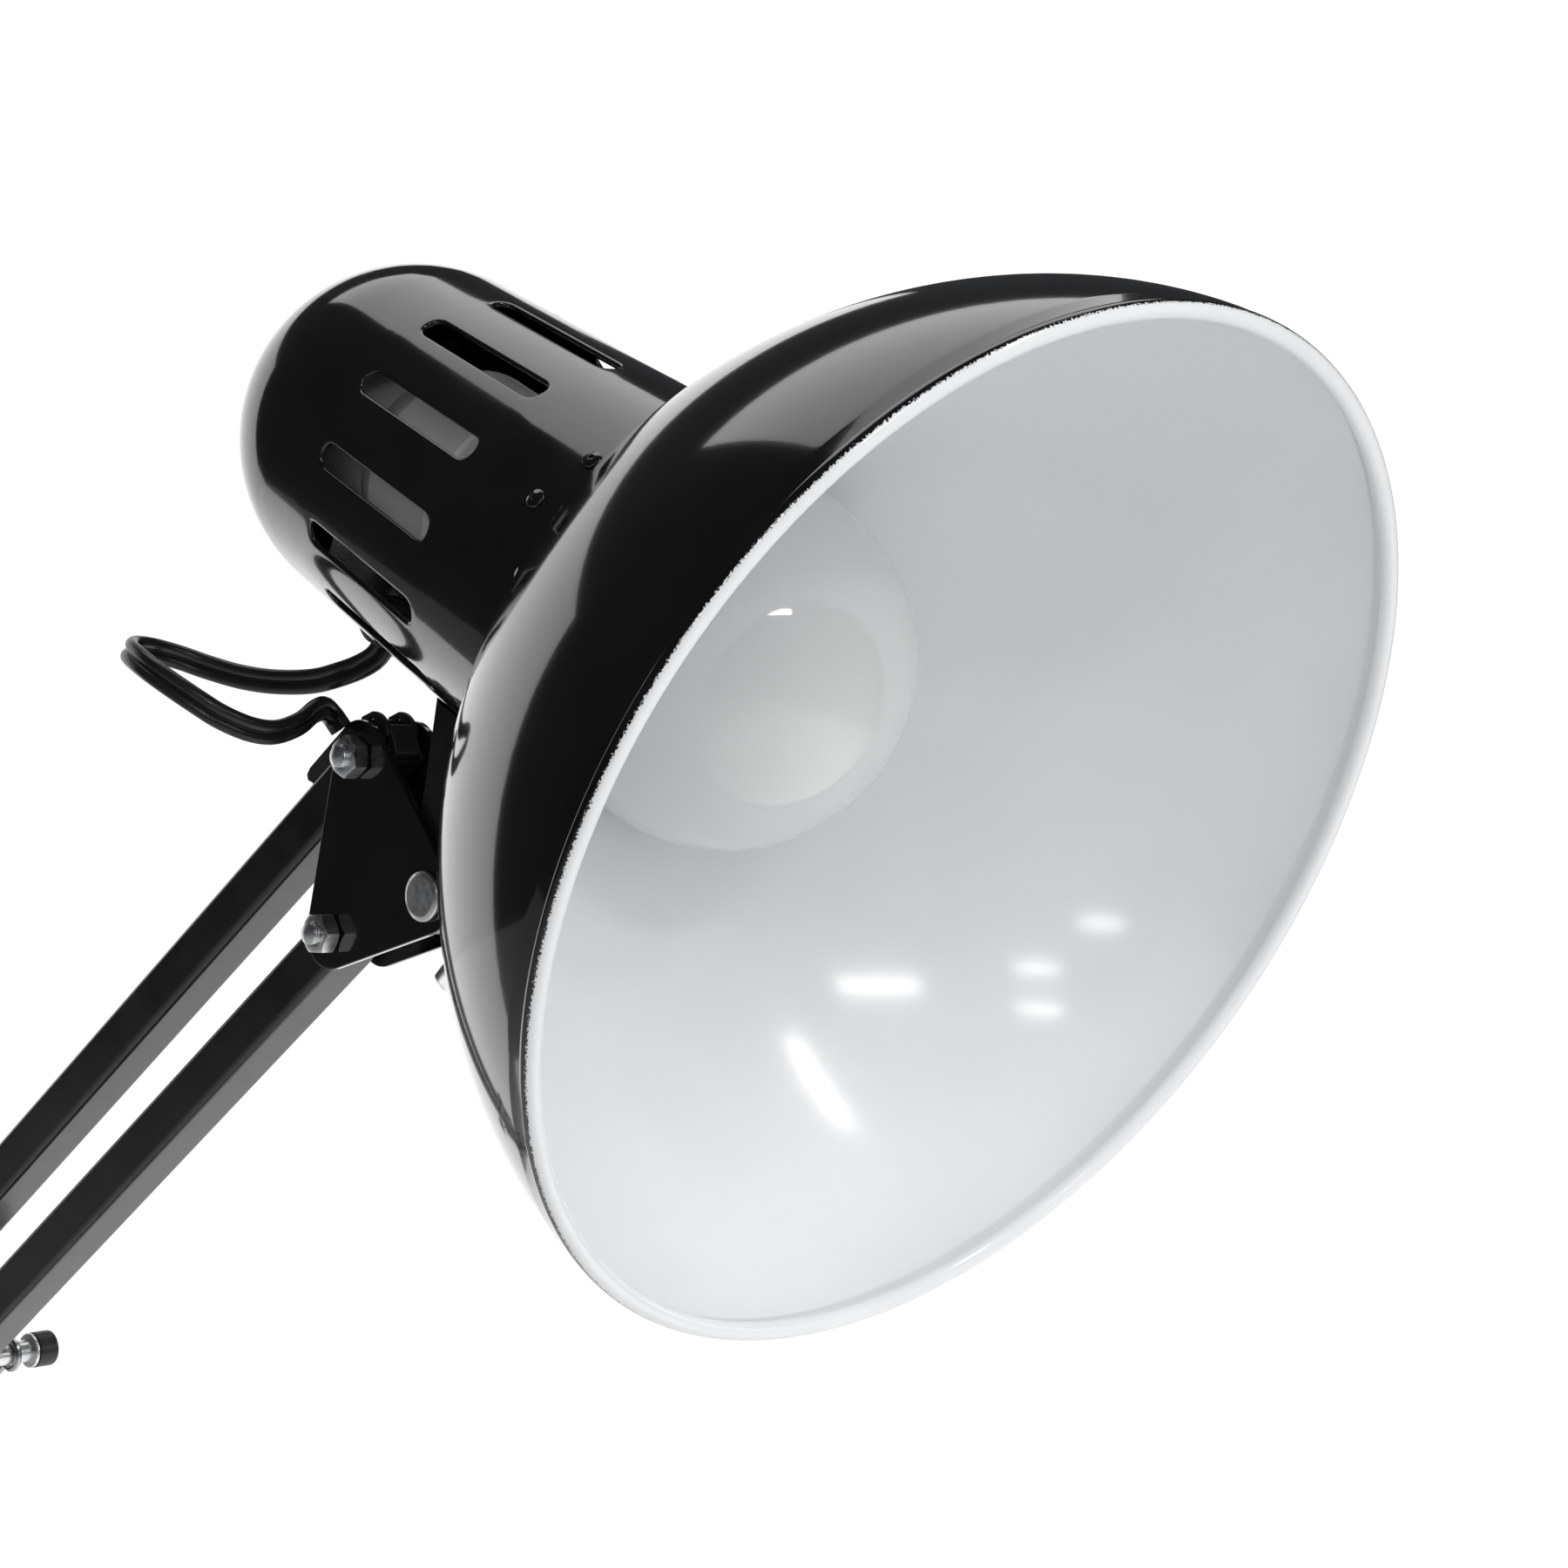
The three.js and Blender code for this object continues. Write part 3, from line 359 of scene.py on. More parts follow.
def sections(route, outline, side, roll=None):
    """The outline's rings along a route. side is the way its X points at the start; roll adds a turn."""
    rings = []
    across = Vector(side)
    for i, point in enumerate(route):
        ahead = (route[min(i + 1, len(route) - 1)] - route[max(i - 1, 0)]).normalized()
        across = (across - ahead * across.dot(ahead)).normalized()
        angle = roll(i / (len(route) - 1)) if roll else 0
        x_axis = Matrix.Rotation(angle, 3, ahead) @ across
        y_axis = ahead.cross(x_axis)
        rings.append([point + x_axis * x + y_axis * y for x, y in outline])
    return rings


def twin_outline():
    """Two round cores joined along their sides."""
    apart = FLEX_WIDTH / 2 - CORE_RADIUS
    join = rad(24)
    right = arc((apart, 0), CORE_RADIUS, join - math.pi, math.pi - join, 14)
    return right + arc((-apart, 0), CORE_RADIUS, join, TAU - join, 14)


# ---- Pieces ----
def bake(name, bm, place=UNIT, sharp=40):
    """A finished mesh object from a bmesh in millimetres."""
    bmesh.ops.recalc_face_normals(bm, faces=bm.faces)
    mesh = bpy.data.meshes.new(name)
    bm.to_mesh(mesh)
    bm.free()
    mesh.transform(Matrix.Scale(MM, 4))
    mesh.shade_smooth()
    mesh.set_sharp_from_angle(angle=rad(sharp))
    obj = added(name, mesh)
    obj.matrix_world = place
    weighted = obj.modifiers.new("even_shading", "WEIGHTED_NORMAL")
    weighted.keep_sharp = True
    return obj


def piece(name, bm, body, slot, look, nodes=(), place=UNIT, sharp=40):
    obj = bake(name, bm, place, sharp)
    obj.data.materials.append(look)
    if body:
        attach(obj, body)
    if nodes:
        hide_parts(*nodes)
    return obj


# ---- Materials ----
class Look:
    """A node material whose colour, roughness and relief vary over the surface."""

    def __init__(self, name, sockets):
        self.material = bpy.data.materials.new(name)
        self.material.use_nodes = True
        self.tree = self.material.node_tree
        self.shader = self.tree.nodes["Principled BSDF"]
        for socket, value in sockets.items():
            self.shader.inputs[socket].default_value = value
        self.where = self.tree.nodes.new("ShaderNodeTexCoord").outputs["Object"]

    def node(self, kind, **settings):
        made = self.tree.nodes.new(kind)
        for key, value in settings.items():
            setattr(made, key, value)
        return made

    def link(self, out, into):
        self.tree.links.new(out, into)

    def noise(self, scale, detail=4.0, stretch=(1, 1, 1)):
        mapping = self.node("ShaderNodeMapping")
        mapping.inputs["Scale"].default_value = stretch
        noise = self.node("ShaderNodeTexNoise")
        noise.inputs["Scale"].default_value = scale
        noise.inputs["Detail"].default_value = detail
        self.link(self.where, mapping.inputs["Vector"])
        self.link(mapping.outputs["Vector"], noise.inputs["Vector"])
        return noise.outputs["Fac"]

    def ramp(self, source, stops):
        ramp = self.node("ShaderNodeValToRGB")
        elements = ramp.color_ramp.elements
        while len(elements) < len(stops):
            elements.new(0.5)
        for element, (place, colour) in zip(elements, stops):
            element.position = place
            element.color = (*colour, 1)
        self.link(source, ramp.inputs["Fac"])
        return ramp.outputs["Color"]

    def spread(self, source, low, high, start=0.3, end=0.7):
        spread = self.node("ShaderNodeMapRange")
        for key, value in {"From Min": start, "From Max": end, "To Min": low, "To Max": high}.items():
            spread.inputs[key].default_value = value
        self.link(source, spread.inputs["Value"])
        return spread.outputs["Result"]

    def drive(self, socket, source):
        self.link(source, self.shader.inputs[socket])

    def relief(self, layers):
        """Each layer is a noise, ending in its strength and its depth in mm."""
        normal = None
        for *grain, strength, depth in layers:
            bump = self.node("ShaderNodeBump")
            bump.inputs["Strength"].default_value = strength
            bump.inputs["Distance"].default_value = depth * MM
            self.link(self.noise(*grain), bump.inputs["Height"])
            if normal:
                self.link(normal, bump.inputs["Normal"])
            normal = bump.outputs["Normal"]
        self.drive("Normal", normal)


def grey(value):
    return (value, value, value)


def finish(name, tint, stops, gloss, relief, sockets, slot=None):
    """A slot and its material. gloss is a noise and the roughness it swings between."""
    *shine, low, high = gloss
    look = Look(name, sockets)
    look.drive("Base Color", look.ramp(look.noise(*tint), stops))
    look.drive("Roughness", look.spread(look.noise(*shine), low, high))
    look.relief(relief)
    return slot or name, look.material


def plastic(name, dark, light, low, high, depth=0.02):
    stops = [(0.3, dark), (0.7, light)]
    return finish(name, (90, 4), stops, (350, 5, low, high), [(2400, 3, 0.4, depth)], {})


BLACK_STOPS = [(0.3, (0.0035, 0.0035, 0.004)), (0.75, (0.008, 0.008, 0.0085))]
ENAMEL_RELIEF = [(420, 2, 0.12, 0.05), (3500, 2, 0.25, 0.004)]


def shade_enamel():
    """Black outside and white inside. The coat attribute is below 0 outside and above 0 inside."""
    look = Look("shade_enamel", {})
    coat = look.node("ShaderNodeAttribute", attribute_name="coat").outputs["Fac"]
    spray = look.node("ShaderNodeMath", operation="ADD")
    look.link(look.noise(3200, 3), spray.inputs[0])
    look.link(coat, spray.inputs[1])
    white = look.spread(spray.outputs[0], 0, 1, 0.5, 0.62)
    pale = look.ramp(look.noise(30), [(0.3, (0.735, 0.75, 0.765)), (0.7, (0.765, 0.778, 0.79))])
    mix = look.node("ShaderNodeMix", data_type="RGBA")
    look.link(white, mix.inputs["Factor"])
    look.link(look.ramp(look.noise(60), BLACK_STOPS), mix.inputs["A"])
    look.link(pale, mix.inputs["B"])
    look.drive("Base Color", mix.outputs["Result"])
    look.drive("Roughness", look.spread(white, 0.1, 0.15, 0, 1))
    look.drive("Coat Weight", look.spread(white, 0.5, 0.06, 0, 1))
    look.relief(ENAMEL_RELIEF)
    return "black_gloss", look.material


METAL = {"Metallic": 1.0}
ENAMEL = finish("black_enamel", (60,), BLACK_STOPS, (45, 6, 0.07, 0.15), ENAMEL_RELIEF, {"Coat Weight": 0.6},
                "black_gloss")
SHADE_ENAMEL = shade_enamel()
SATIN = finish("black_satin", (80, 5), [(0.35, (0.0075, 0.0075, 0.008)), (0.7, (0.014, 0.014, 0.0145))],
               (120, 5, 0.18, 0.27), [(900, 2, 0.12, 0.008)], {"Coat Weight": 0.1, "Coat Roughness": 0.15})
ZINC_STOPS = [(0.3, (0.56, 0.58, 0.6)), (0.5, (0.76, 0.77, 0.77)), (0.72, (0.64, 0.63, 0.6))]
ZINC = finish("zinc", (260, 5), ZINC_STOPS, (600, 6, 0.24, 0.44), [(2200, 4, (1, 1, 0.3), 0.35, 0.02)], METAL)
SPRING_STEEL = finish("spring_steel", (150, 4), [(0.3, (0.36, 0.37, 0.39)), (0.7, (0.55, 0.55, 0.55))],
                      (900, 4, (1, 0.2, 1), 0.18, 0.34), [(2600, 3, 0.2, 0.01)], METAL, "zinc")
NICKEL = finish("nickel", (120,), [(0.3, (0.6, 0.57, 0.5)), (0.7, (0.72, 0.7, 0.64))],
                (500, 5, 0.12, 0.28), [(1800, 3, (1, 0.1, 1), 0.2, 0.01)], METAL, "zinc")
IRON = finish("cast_iron", (300, 6), [(0.3, grey(0.03)), (0.7, grey(0.08))],
              (500, 6, 0.55, 0.85), [(900, 6, 0.8, 0.2)], {"Metallic": 0.8})
PLASTIC = plastic("black_plastic", grey(0.008), grey(0.014), 0.32, 0.5)
RUBBER = plastic("black_rubber", grey(0.012), grey(0.02), 0.55, 0.8, 0.04)
SHEATH = plastic("flex_sheath", grey(0.009), grey(0.016), 0.24, 0.36, 0.008)
PALE = plastic("pale_plastic", (0.72, 0.73, 0.71), (0.8, 0.8, 0.78), 0.35, 0.5)
OPAL = finish("opal_glass", (25, 3), [(0.3, (0.6, 0.605, 0.605)), (0.7, (0.63, 0.635, 0.635))],
              (60, 3, 0.06, 0.12), [(80, 2, 0.03, 0.1)],
              {"Coat Weight": 0.8, "Coat Roughness": 0.02, "Subsurface Weight": 0.25,
               "Subsurface Radius": (0.004, 0.004, 0.004)})


# ---- Head ----
def bowl_points(radius, depth, neck, steps):
    """The superellipse from the rim to where its radius is the neck's, as (radius, distance back)."""
    power = 2 / BOWL_POWER
    last = math.acos((neck / radius) ** (1 / power))
    angles = [last * (k / steps) ** 1.3 for k in range(steps + 1)]
    return [(radius * math.cos(angle) ** power, depth * math.sin(angle) ** power) for angle in angles]


def make_shade():
    """Bowl, short neck and a bead rolled round the rim."""
    outer = [p for p in bowl_points(SHADE_RADIUS, SHADE_DEPTH, NECK_RADIUS + 0.8, 60) if p[1] > 4]
    inner = [p for p in bowl_points(SHADE_RADIUS - SHADE_WALL, SHADE_DEPTH - SHADE_WALL,
                                    NECK_RADIUS - SHADE_WALL + 0.4, 60) if p[1] > 4.2]
    bead = arc((SHADE_RADIUS - BEAD_RADIUS, BEAD_RADIUS), BEAD_RADIUS, rad(35), rad(-215), 20)
    neck = [(NECK_RADIUS, NECK_END), (NECK_RADIUS, outer[-1][1] + 1.2)]
    profile = [*neck, *reversed(outer), *bead, *inner, (NECK_RADIUS - SHADE_WALL, NECK_END)]
    white_from = len(neck) + len(outer) + 5
    segments = 192
    bm = bmesh.new()
    loft(bm, [ring(r, z, segments) for r, z in profile], wrap=True)
    coat = bm.verts.layers.float.new("coat")
    for i, vert in enumerate(bm.verts):
        vert[coat] = max(-1.0, min(1.0, (i // segments - white_from) * 0.22))
    piece("shade_bowl", bm, "head", *SHADE_ENAMEL, ["shade"], HEAD, sharp=50)


def housing_radius(z):
    share = min(1, (z - HOUSING_FRONT) / (DOME_CENTRE - HOUSING_FRONT))
    return HOUSING_FRONT_RADIUS + (DOME_RADIUS - HOUSING_FRONT_RADIUS) * share


def make_housing():
    """A tapered tube with a round end and a ring of pressed slots."""
    half = SLOT_WIDTH / 2
    middle_radius = housing_radius((SLOT_START + SLOT_END) / 2)
    side = math.pi * middle_radius / SLOT_SPACES
    low, high = SLOT_START - 5, SLOT_END + 5
    line_low, line_high = SLOT_START + half, SLOT_END - half
    across = [side * (-1 + 2 * k / 8) for k in range(9)]
    up = [low, *(low + (line_low - low) * k / 4 for k in (1, 2, 3)),
          *(line_low + (line_high - line_low) * k / 6 for k in range(7)),
          *(line_high + (high - line_high) * k / 4 for k in (1, 2, 3)), high]
    frame_points = [(a, low) for a in across[:-1]] + [(side, z) for z in up[:-1]]
    frame_points += [(a, high) for a in reversed(across[1:])] + [(-side, z) for z in reversed(up[1:])]

    def direction(a, sector):
        return SLOT_PHASE + sector * TAU / SLOT_SPACES + a / middle_radius

    def on_wall(a, z, sink, sector):
        return polar(housing_radius(z) - sink, direction(a, sector), z)

    def slot_point(a, z, share):
        nearest = Vector((0, min(max(z, line_low), line_high)))
        edge = nearest + (Vector((a, z)) - nearest).normalized() * half
        return edge.lerp(Vector((a, z)), share)

    bm = bmesh.new()
    shares = [(0, HOUSING_WALL - 0.25), (0, 0.45), (0.02, 0.2), (0.06, 0.06), (0.12, 0), (0.35, 0), (0.65, 0),
              (1, 0)]
    for sector in range(SLOT_SPACES):
        if sector in SOLID_SPACES:
            for sink in (0, HOUSING_WALL):
                grid = [[bm.verts.new(on_wall(a, z, sink, sector)) for a in across] for z in up]
                for lower, upper in zip(grid, grid[1:]):
                    for i in range(len(across) - 1):
                        bm.faces.new([lower[i], lower[i + 1], upper[i + 1], upper[i]])
            continue
        rings = [[on_wall(*slot_point(a, z, share), sink, sector) for a, z in frame_points]
                 for share, sink in shares]
        back = [[on_wall(*slot_point(a, z, share), HOUSING_WALL, sector) for a, z in frame_points]
                for share in (1, 0.5, 0.06)]
        loft(bm, rings)
        loft(bm, [*back, rings[0]])

    def row(radius, z):
        return [polar(radius, direction(a, sector), z) for sector in range(SLOT_SPACES) for a in across[:-1]]

    def rows(heights, sink):
        return [row(housing_radius(z) - sink, z) for z in heights]

    def dome(sink, steps=16):
        quarter = [polar(DOME_RADIUS, rad(90) * k / steps) for k in range(1, steps)]
        pole = [(0, 0, DOME_CENTRE + DOME_RADIUS - 2 * sink)]
        return [row(r - sink, DOME_CENTRE + z * (1 - sink / DOME_RADIUS)) for r, z in quarter] + [pole]
    front = HOUSING_FRONT + GAP
    before = [front + 0.3, front + 1.2, 90, 98, low]
    after = [high, DOME_CENTRE - 3, DOME_CENTRE]
    lip = row(HOUSING_FRONT_RADIUS - HOUSING_WALL / 2, front)
    loft(bm, [*reversed(rows(before, HOUSING_WALL)), lip, *rows(before, 0)])
    for sink in (0, HOUSING_WALL):
        loft(bm, rows(after, sink) + dome(sink))
    bmesh.ops.remove_doubles(bm, verts=bm.verts, dist=0.002)
    piece("housing_shell", bm, "head", *ENAMEL, ["housing"], HEAD, sharp=60)


def make_bulb():
    bm = bmesh.new()
    ball = arc((0, BULB_CENTRE), BULB_RADIUS, rad(-90), rad(36), 40)
    neck = [(21.6, 99), (17.6, 107), (14.6, 113.5), (12.9, 117.2), (11.8, 118.4)]
    wall = 1
    profile = [(0, ball[0][1]), *ball[1:], *neck]
    inside = [(max(r - wall, 0), z + (wall if z < BULB_CENTRE - 25 else 0)) for r, z in reversed(profile)]
    loft(bm, [ring(r, z, 96) for r, z in profile + inside])
    piece("bulb_glass", bm, "head", *OPAL, ["bulb_globe"], HEAD)
    bm = bmesh.new()
    turns, pitch = 5, 3.6
    grooves = [(CAP_RADIUS - 0.45 + 0.42 * math.sin(TAU * k / 8), 120 + pitch * k / 8)
               for k in range(turns * 8 + 1)]
    lathe(bm, [(0, 118.7), (CAP_RADIUS - 0.7, 118.7, 0.3), *grooves, (9, 142, 0.6), (4.5, 143, 0.4),
               (4.5, 145.5, 0.8), (0, 145.5)], 64)
    piece("bulb_screw_cap", bm, "head", *NICKEL, ["bulb_cap"], HEAD)


def make_lampholder():
    bm = bmesh.new()
    front, back = 117, 166.3
    lathe(bm, [(0, 148), (CAP_RADIUS + 0.8, 148), (CAP_RADIUS + 0.8, front, 0.5), (18.5, front, 1.2),
               (19.5, front + 5, 0.8), (19.5, 126, 0.3), (18.9, 126.6, 0.3), (18.9, 128.4, 0.3),
               (19.5, 129, 0.3), (19.5, 146, 1.5), (17, 152, 1.5), (17, back, 1), (4.8, back, 0.4),
               (4.8, 174, 0.6), (0, 174)], 72)
    piece("lampholder_moulding", bm, "head", *PALE, ["lampholder"], HEAD)


def make_neck_screws():
    """Small pan heads that hold the shade to the housing."""
    bm = bmesh.new()
    for z, angle in ((90, -62), (83, -80), (87, -45), (90, 62), (83, 80), (87, 45), (88, 170), (88, -170)):
        place = turned(angle, "Z") @ Matrix.Translation((housing_radius(z) - 0.2, 0, z)) @ ALONG_X
        profile = [(0, 0), (1.7, 0), (1.7, 0.7, 0.35), (0.5, 1.25, 0.2), (0.35, 0.8), (0, 0.8)]
        lathe(bm, profile, 24, place=place)
    piece("neck_screws", bm, "head", *ENAMEL, (), HEAD)


def make_grommet():
    bm = bmesh.new()
    outward = Matrix.Translation((-housing_radius(GROMMET_AT), 0, GROMMET_AT)) @ turned(90, "Y")
    lathe(bm, [(2.7, 2.6), (3.4, 2.6, 0.2), (3.4, -0.6), (5.6, -0.6, 0.3), (5.6, -2.2, 0.6), (4.4, -3.6, 0.4),
               (2.7, -3.6, 0.3)], 48, closed=True, place=outward)
    piece("flex_grommet", bm, "head", *RUBBER, ["grommet"], HEAD)


LUG_TOP = -housing_radius(90) - GAP
EAR_INNER = 3.4
EAR_OUTER = 5
LUG_SCREWS = (97, 122)
STRAP_INNER = -27.2


def make_lug():
    """A folded steel channel, its two ears on the tilt bolt."""
    tilt = HEAD.inverted() @ (TILT * MM) / MM
    back_and_up = axes((0, 0, 1), (1, 0, 0), (0, 1, 0))
    corners = [(tilt.z, tilt.x), (126, LUG_TOP - 0.8), (93, LUG_TOP - 0.8)]
    outline = band(corners, [PLATE_CORNER, 0.8, 0.8], 12)
    hole = circle((tilt.z, tilt.x), TILT_BOLT_RADIUS + GAP)
    bm = bmesh.new()
    for low in (-EAR_OUTER, EAR_INNER):
        plate(bm, outline, low, low + EAR_OUTER - EAR_INNER, [hole], 0.25, back_and_up)
    floor = rectangle(92.2, -EAR_OUTER, 126.8, EAR_OUTER, 1)
    plate(bm, floor, -LUG_TOP, -LUG_TOP + 1.6, (), 0.25, axes((0, 0, 1), (0, 1, 0), (-1, 0, 0)))
    piece("lug_channel", bm, "head", *SATIN, ["head_lug"], HEAD)


def make_lug_screws():
    for z, node in zip(LUG_SCREWS, ("lug_screw_front", "lug_screw_rear")):
        bm = bmesh.new()
        nut_top = LUG_TOP - 1.6 - GAP
        outward = Matrix.Translation((0, 0, z)) @ turned(90, "Y")
        thread(bm, 1.5, nut_top - 4.4, nut_top, 0.5, outward)
        rod(bm, 1.45, nut_top - 1, STRAP_INNER + 1, 24, outward)
        lathe(bm, [(0, STRAP_INNER + GAP), (2.8, STRAP_INNER + GAP), (2.8, STRAP_INNER + 1.2, 0.4),
                   (1.4, STRAP_INNER + 2.3, 0.4), (0, STRAP_INNER + 2.3)], 32, place=outward)
        nut(bm, 5.5, nut_top - 2.4, nut_top, 1.5, outward)
        piece(node + "_set", bm, "head", *ZINC, [node], HEAD)


# ---- Fasteners, about Z ----
def nut(bm, flats, low, high, bore=0, place=UNIT):
    """A hexagon with chamfered corners, with a bore or solid."""
    segments = 72
    flat = flats / 2 * 0.965
    fall = math.tan(rad(28))

    def corner(z, way):
        out = []
        for i in range(segments):
            angle = TAU * i / segments
            r = flats / 2 / math.cos((angle + rad(30)) % rad(60) - rad(30))
            out.append(polar(r, angle, z + way * (r - flat) * fall))
        return out
    rings = [ring(flat, low, segments), corner(low, 1), corner(high, -1), ring(flat, high, segments)]
    if bore:
        sink = 0.35
        rings = [ring(bore, low + sink, segments), ring(bore + sink, low, segments), *rings,
                 ring(bore + sink, high, segments), ring(bore, high - sink, segments)]
        loft(bm, rings, wrap=True, place=place)
    else:
        loft(bm, [[(0, 0, low)], *rings, [(0, 0, high)]], place=place)


def thread(bm, radius, low, high, pitch, place=UNIT):
    """A threaded rod with a domed end at low."""
    segments = 36
    depth = pitch / 2
    per_turn = 8
    rows = int((high - low) / pitch * per_turn)
    rings = [ring(radius * share, low - radius * 0.28 * (1 - share * share), segments)
             for share in (0, 0.35, 0.65, 0.85)]
    for k in range(rows + 1):
        level = []
        for i in range(segments):
            groove = 0.5 - 0.5 * math.cos(TAU * (k / per_turn + i / segments))
            r = radius - depth * groove * min(1, k / 6)
            level.append(polar(r, TAU * i / segments, low + (high - low) * k / rows))
        rings.append(level)
    loft(bm, [*rings, [(0, 0, high)]], place=place)


def make_pivot_bolt(node, point, body, turn):
    """Hexagon head on the far side; nut and thread end on the near side."""
    face = PLATE_OUTER + GAP
    bm = bmesh.new()
    nut(bm, NUT_FLATS, face, face + 2.8)
    rod(bm, BOLT_RADIUS, -face - 1, face + 0.4)
    nut(bm, NUT_FLATS, -face - NUT_HEIGHT, -face, BOLT_RADIUS - 0.05)
    thread(bm, BOLT_RADIUS, -face - NUT_HEIGHT - 1.45, -face - 0.5, 0.7)
    piece(node + "_set", bm, body, *ZINC, [node], cross_frame(point, turn))


def make_tilt_joint():
    """Disc-headed bolt, tooth washer and wing nut."""
    face = PLATE_OUTER + GAP
    bm = bmesh.new()
    lathe(bm, [(0, -face - 1.3), (3.7, -face - 1.25, 0.5), (4.6, -face - 0.9, 0.35), (4.6, -face, 0.1),
               (TILT_BOLT_RADIUS, -face), (TILT_BOLT_RADIUS, 8), (0, 8)], 64)
    thread(bm, TILT_BOLT_RADIUS, 0.7, 14, 0.8, Matrix.Translation((0, 0, 21)) @ turned(180, "X"))
    piece("tilt_bolt_set", bm, "head_bracket", *ZINC, ["tilt_bolt"], cross_frame(TILT))

    teeth = [polar(6.8 + 0.55 * math.tanh(3 * math.sin(TAU * k / 8)), TAU * k / 96) for k in range(96)]
    bm = bmesh.new()
    plate(bm, teeth, face, face + 0.9, [circle((0, 0), TILT_BOLT_RADIUS + GAP)], 0.12)
    piece("tooth_washer", bm, "head_bracket", *ZINC, ["tilt_washer"], cross_frame(TILT))

    start = PLATE_OUTER + 2 * GAP + 0.9
    bm = bmesh.new()
    lathe(bm, [(2.8, start), (5.2, start, 0.3), (5.2, start + 2.5, 0.4), (4.4, 15.4, 0.8), (3.6, 16, 0.4),
               (2.8, 16)], 64, closed=True)
    for side in (1, -1):
        wing = rounded_loop([(3.4, 9.2, 0.2), (10, 10.6, 6), (18, 9, 6), (23.2, 8.6, 1.2), (26.1, 12, 1.6),
                             (26, 16.6, 1.8), (20, 17, 5), (10, 15.2, 6), (3.4, 15.5, 0.2)], 6)
        outline = [(side * x, z) for x, z in (wing if side > 0 else reversed(wing))]
        plate(bm, outline, -1, 1, (), 0.6, SIDEWAYS)
    piece("wing_nut_casting", bm, "wing_nut", *ZINC, ["wing_nut"], cross_frame(TILT, -45))


# ---- Arms ----
def make_bar(node, point, angle, body, end_overhang=TUBE_OVERHANG):
    """Square tube with rounded corners, open at both ends."""
    def square(inset):
        half = TUBE / 2 - inset
        return rectangle(-half, -half, half, half, TUBE_CORNER - inset, 6)
    start, end = -TUBE_OVERHANG, ARM_LENGTH + end_overhang
    soft = 0.25
    outer, trimmed, inner = square(0), square(soft), square(TUBE_WALL)
    stations = [(inner, start + soft), (trimmed, start), (outer, start + soft), (outer, end - soft),
                (trimmed, end), (inner, end - soft)]
    rings = [[(x, y, u + TUBE_RISE) for y, u in outline] for outline, x in stations]
    bm = bmesh.new()
    loft(bm, rings, wrap=True)
    piece(node + "_tube", bm, body, *SATIN, [node], arm_frame(point, angle), sharp=50)


def make_plates(name, corners, holes, body):
    """The two bracket plates either side of the bars. Corners are places in the arms' plane."""
    outline = band([(c.x, c.z) for c in corners], [PLATE_CORNER] * len(corners))
    loops = [circle((c.x, c.z), r) for c, r in holes]
    for side, low in (("near", PLATE_INNER), ("far", -PLATE_OUTER)):
        bm = bmesh.new()
        plate(bm, outline, low, low + PLATE_THICK, loops, 0.22, SIDEWAYS)
        piece(f"{name}_bracket_{side}", bm, body, "black_satin", ENAMEL[1], [f"{name}_plate_{side}"])


def make_spring_pin(node, point, body):
    """Steel pin with a chrome ring and a black cap at each end."""
    bm = bmesh.new()
    rod(bm, PIN_RADIUS, 1 - PIN_HALF, PIN_HALF - 1, 40)
    for way in (1, -1):
        start, end = sorted((way * (PIN_HALF - 5), way * (PIN_HALF - 4)))
        ridge = [(PIN_RADIUS, start), (3.9, start, 0.3), (3.9, end, 0.3), (PIN_RADIUS, end)]
        lathe(bm, ridge, 48, closed=True)
    piece(node + "_rod", bm, body, *ZINC, [node], cross_frame(point))
    bm = bmesh.new()
    for way in (1, -1):
        start, end = way * (PIN_HALF - 3.9), way * (PIN_HALF + 1)
        lathe(bm, [(0, start), (4, start, 0.2), (4, end, 0.8), (0, end)], 48)
    piece(node + "_caps", bm, body, *PLASTIC, (), cross_frame(point))


def make_springs(name, start, end):
    """A close-wound spring on each side: a hook round each pin, and the coil between them."""
    length = (end - start).length
    coil_radius = SPRING_RADIUS - WIRE_RADIUS
    coil_end = length - SPRING_HOOK
    coil_length = coil_end - SPRING_HOOK
    pitch = 2.05
    per_turn = 14
    steps = round(coil_length / pitch) * per_turn
    eye = PIN_RADIUS + WIRE_RADIUS + 0.1
    route = [Vector((-x, 0, z)) for x, z in arc((0, 0), eye, rad(-35), rad(-270), 16)]
    route += [Vector((eye + 2.5, 0, 1.4)), Vector((SPRING_HOOK - 4, 0, 0.4))]
    for k in range(steps + 1):
        rise = min(1, k / 10, (steps - k) / 10)
        z, y = polar(coil_radius * rise, TAU * k / per_turn)
        route.append(Vector((SPRING_HOOK + coil_length * k / steps, y, z)))
    route += [Vector((coil_end + 4, 0, -0.4)), Vector((length - eye - 2.5, 0, -1.4))]
    route += [Vector((length - x, 0, -z)) for x, z in arc((0, 0), eye, rad(20), rad(255), 16)]
    rings = sections(route, circle((0, 0), WIRE_RADIUS, 8), (0, 1, 0))
    for node, y in ((name + "_near", -SPRING_SIDE), (name + "_far", SPRING_SIDE)):
        bm = bmesh.new()
        loft(bm, rings, caps=True)
        place = arm_frame(start + Vector((0, y, 0)), slope(start, end))
        spring = piece(node + "_wire", bm, None, *SPRING_STEEL, [node], place)
        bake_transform(spring)


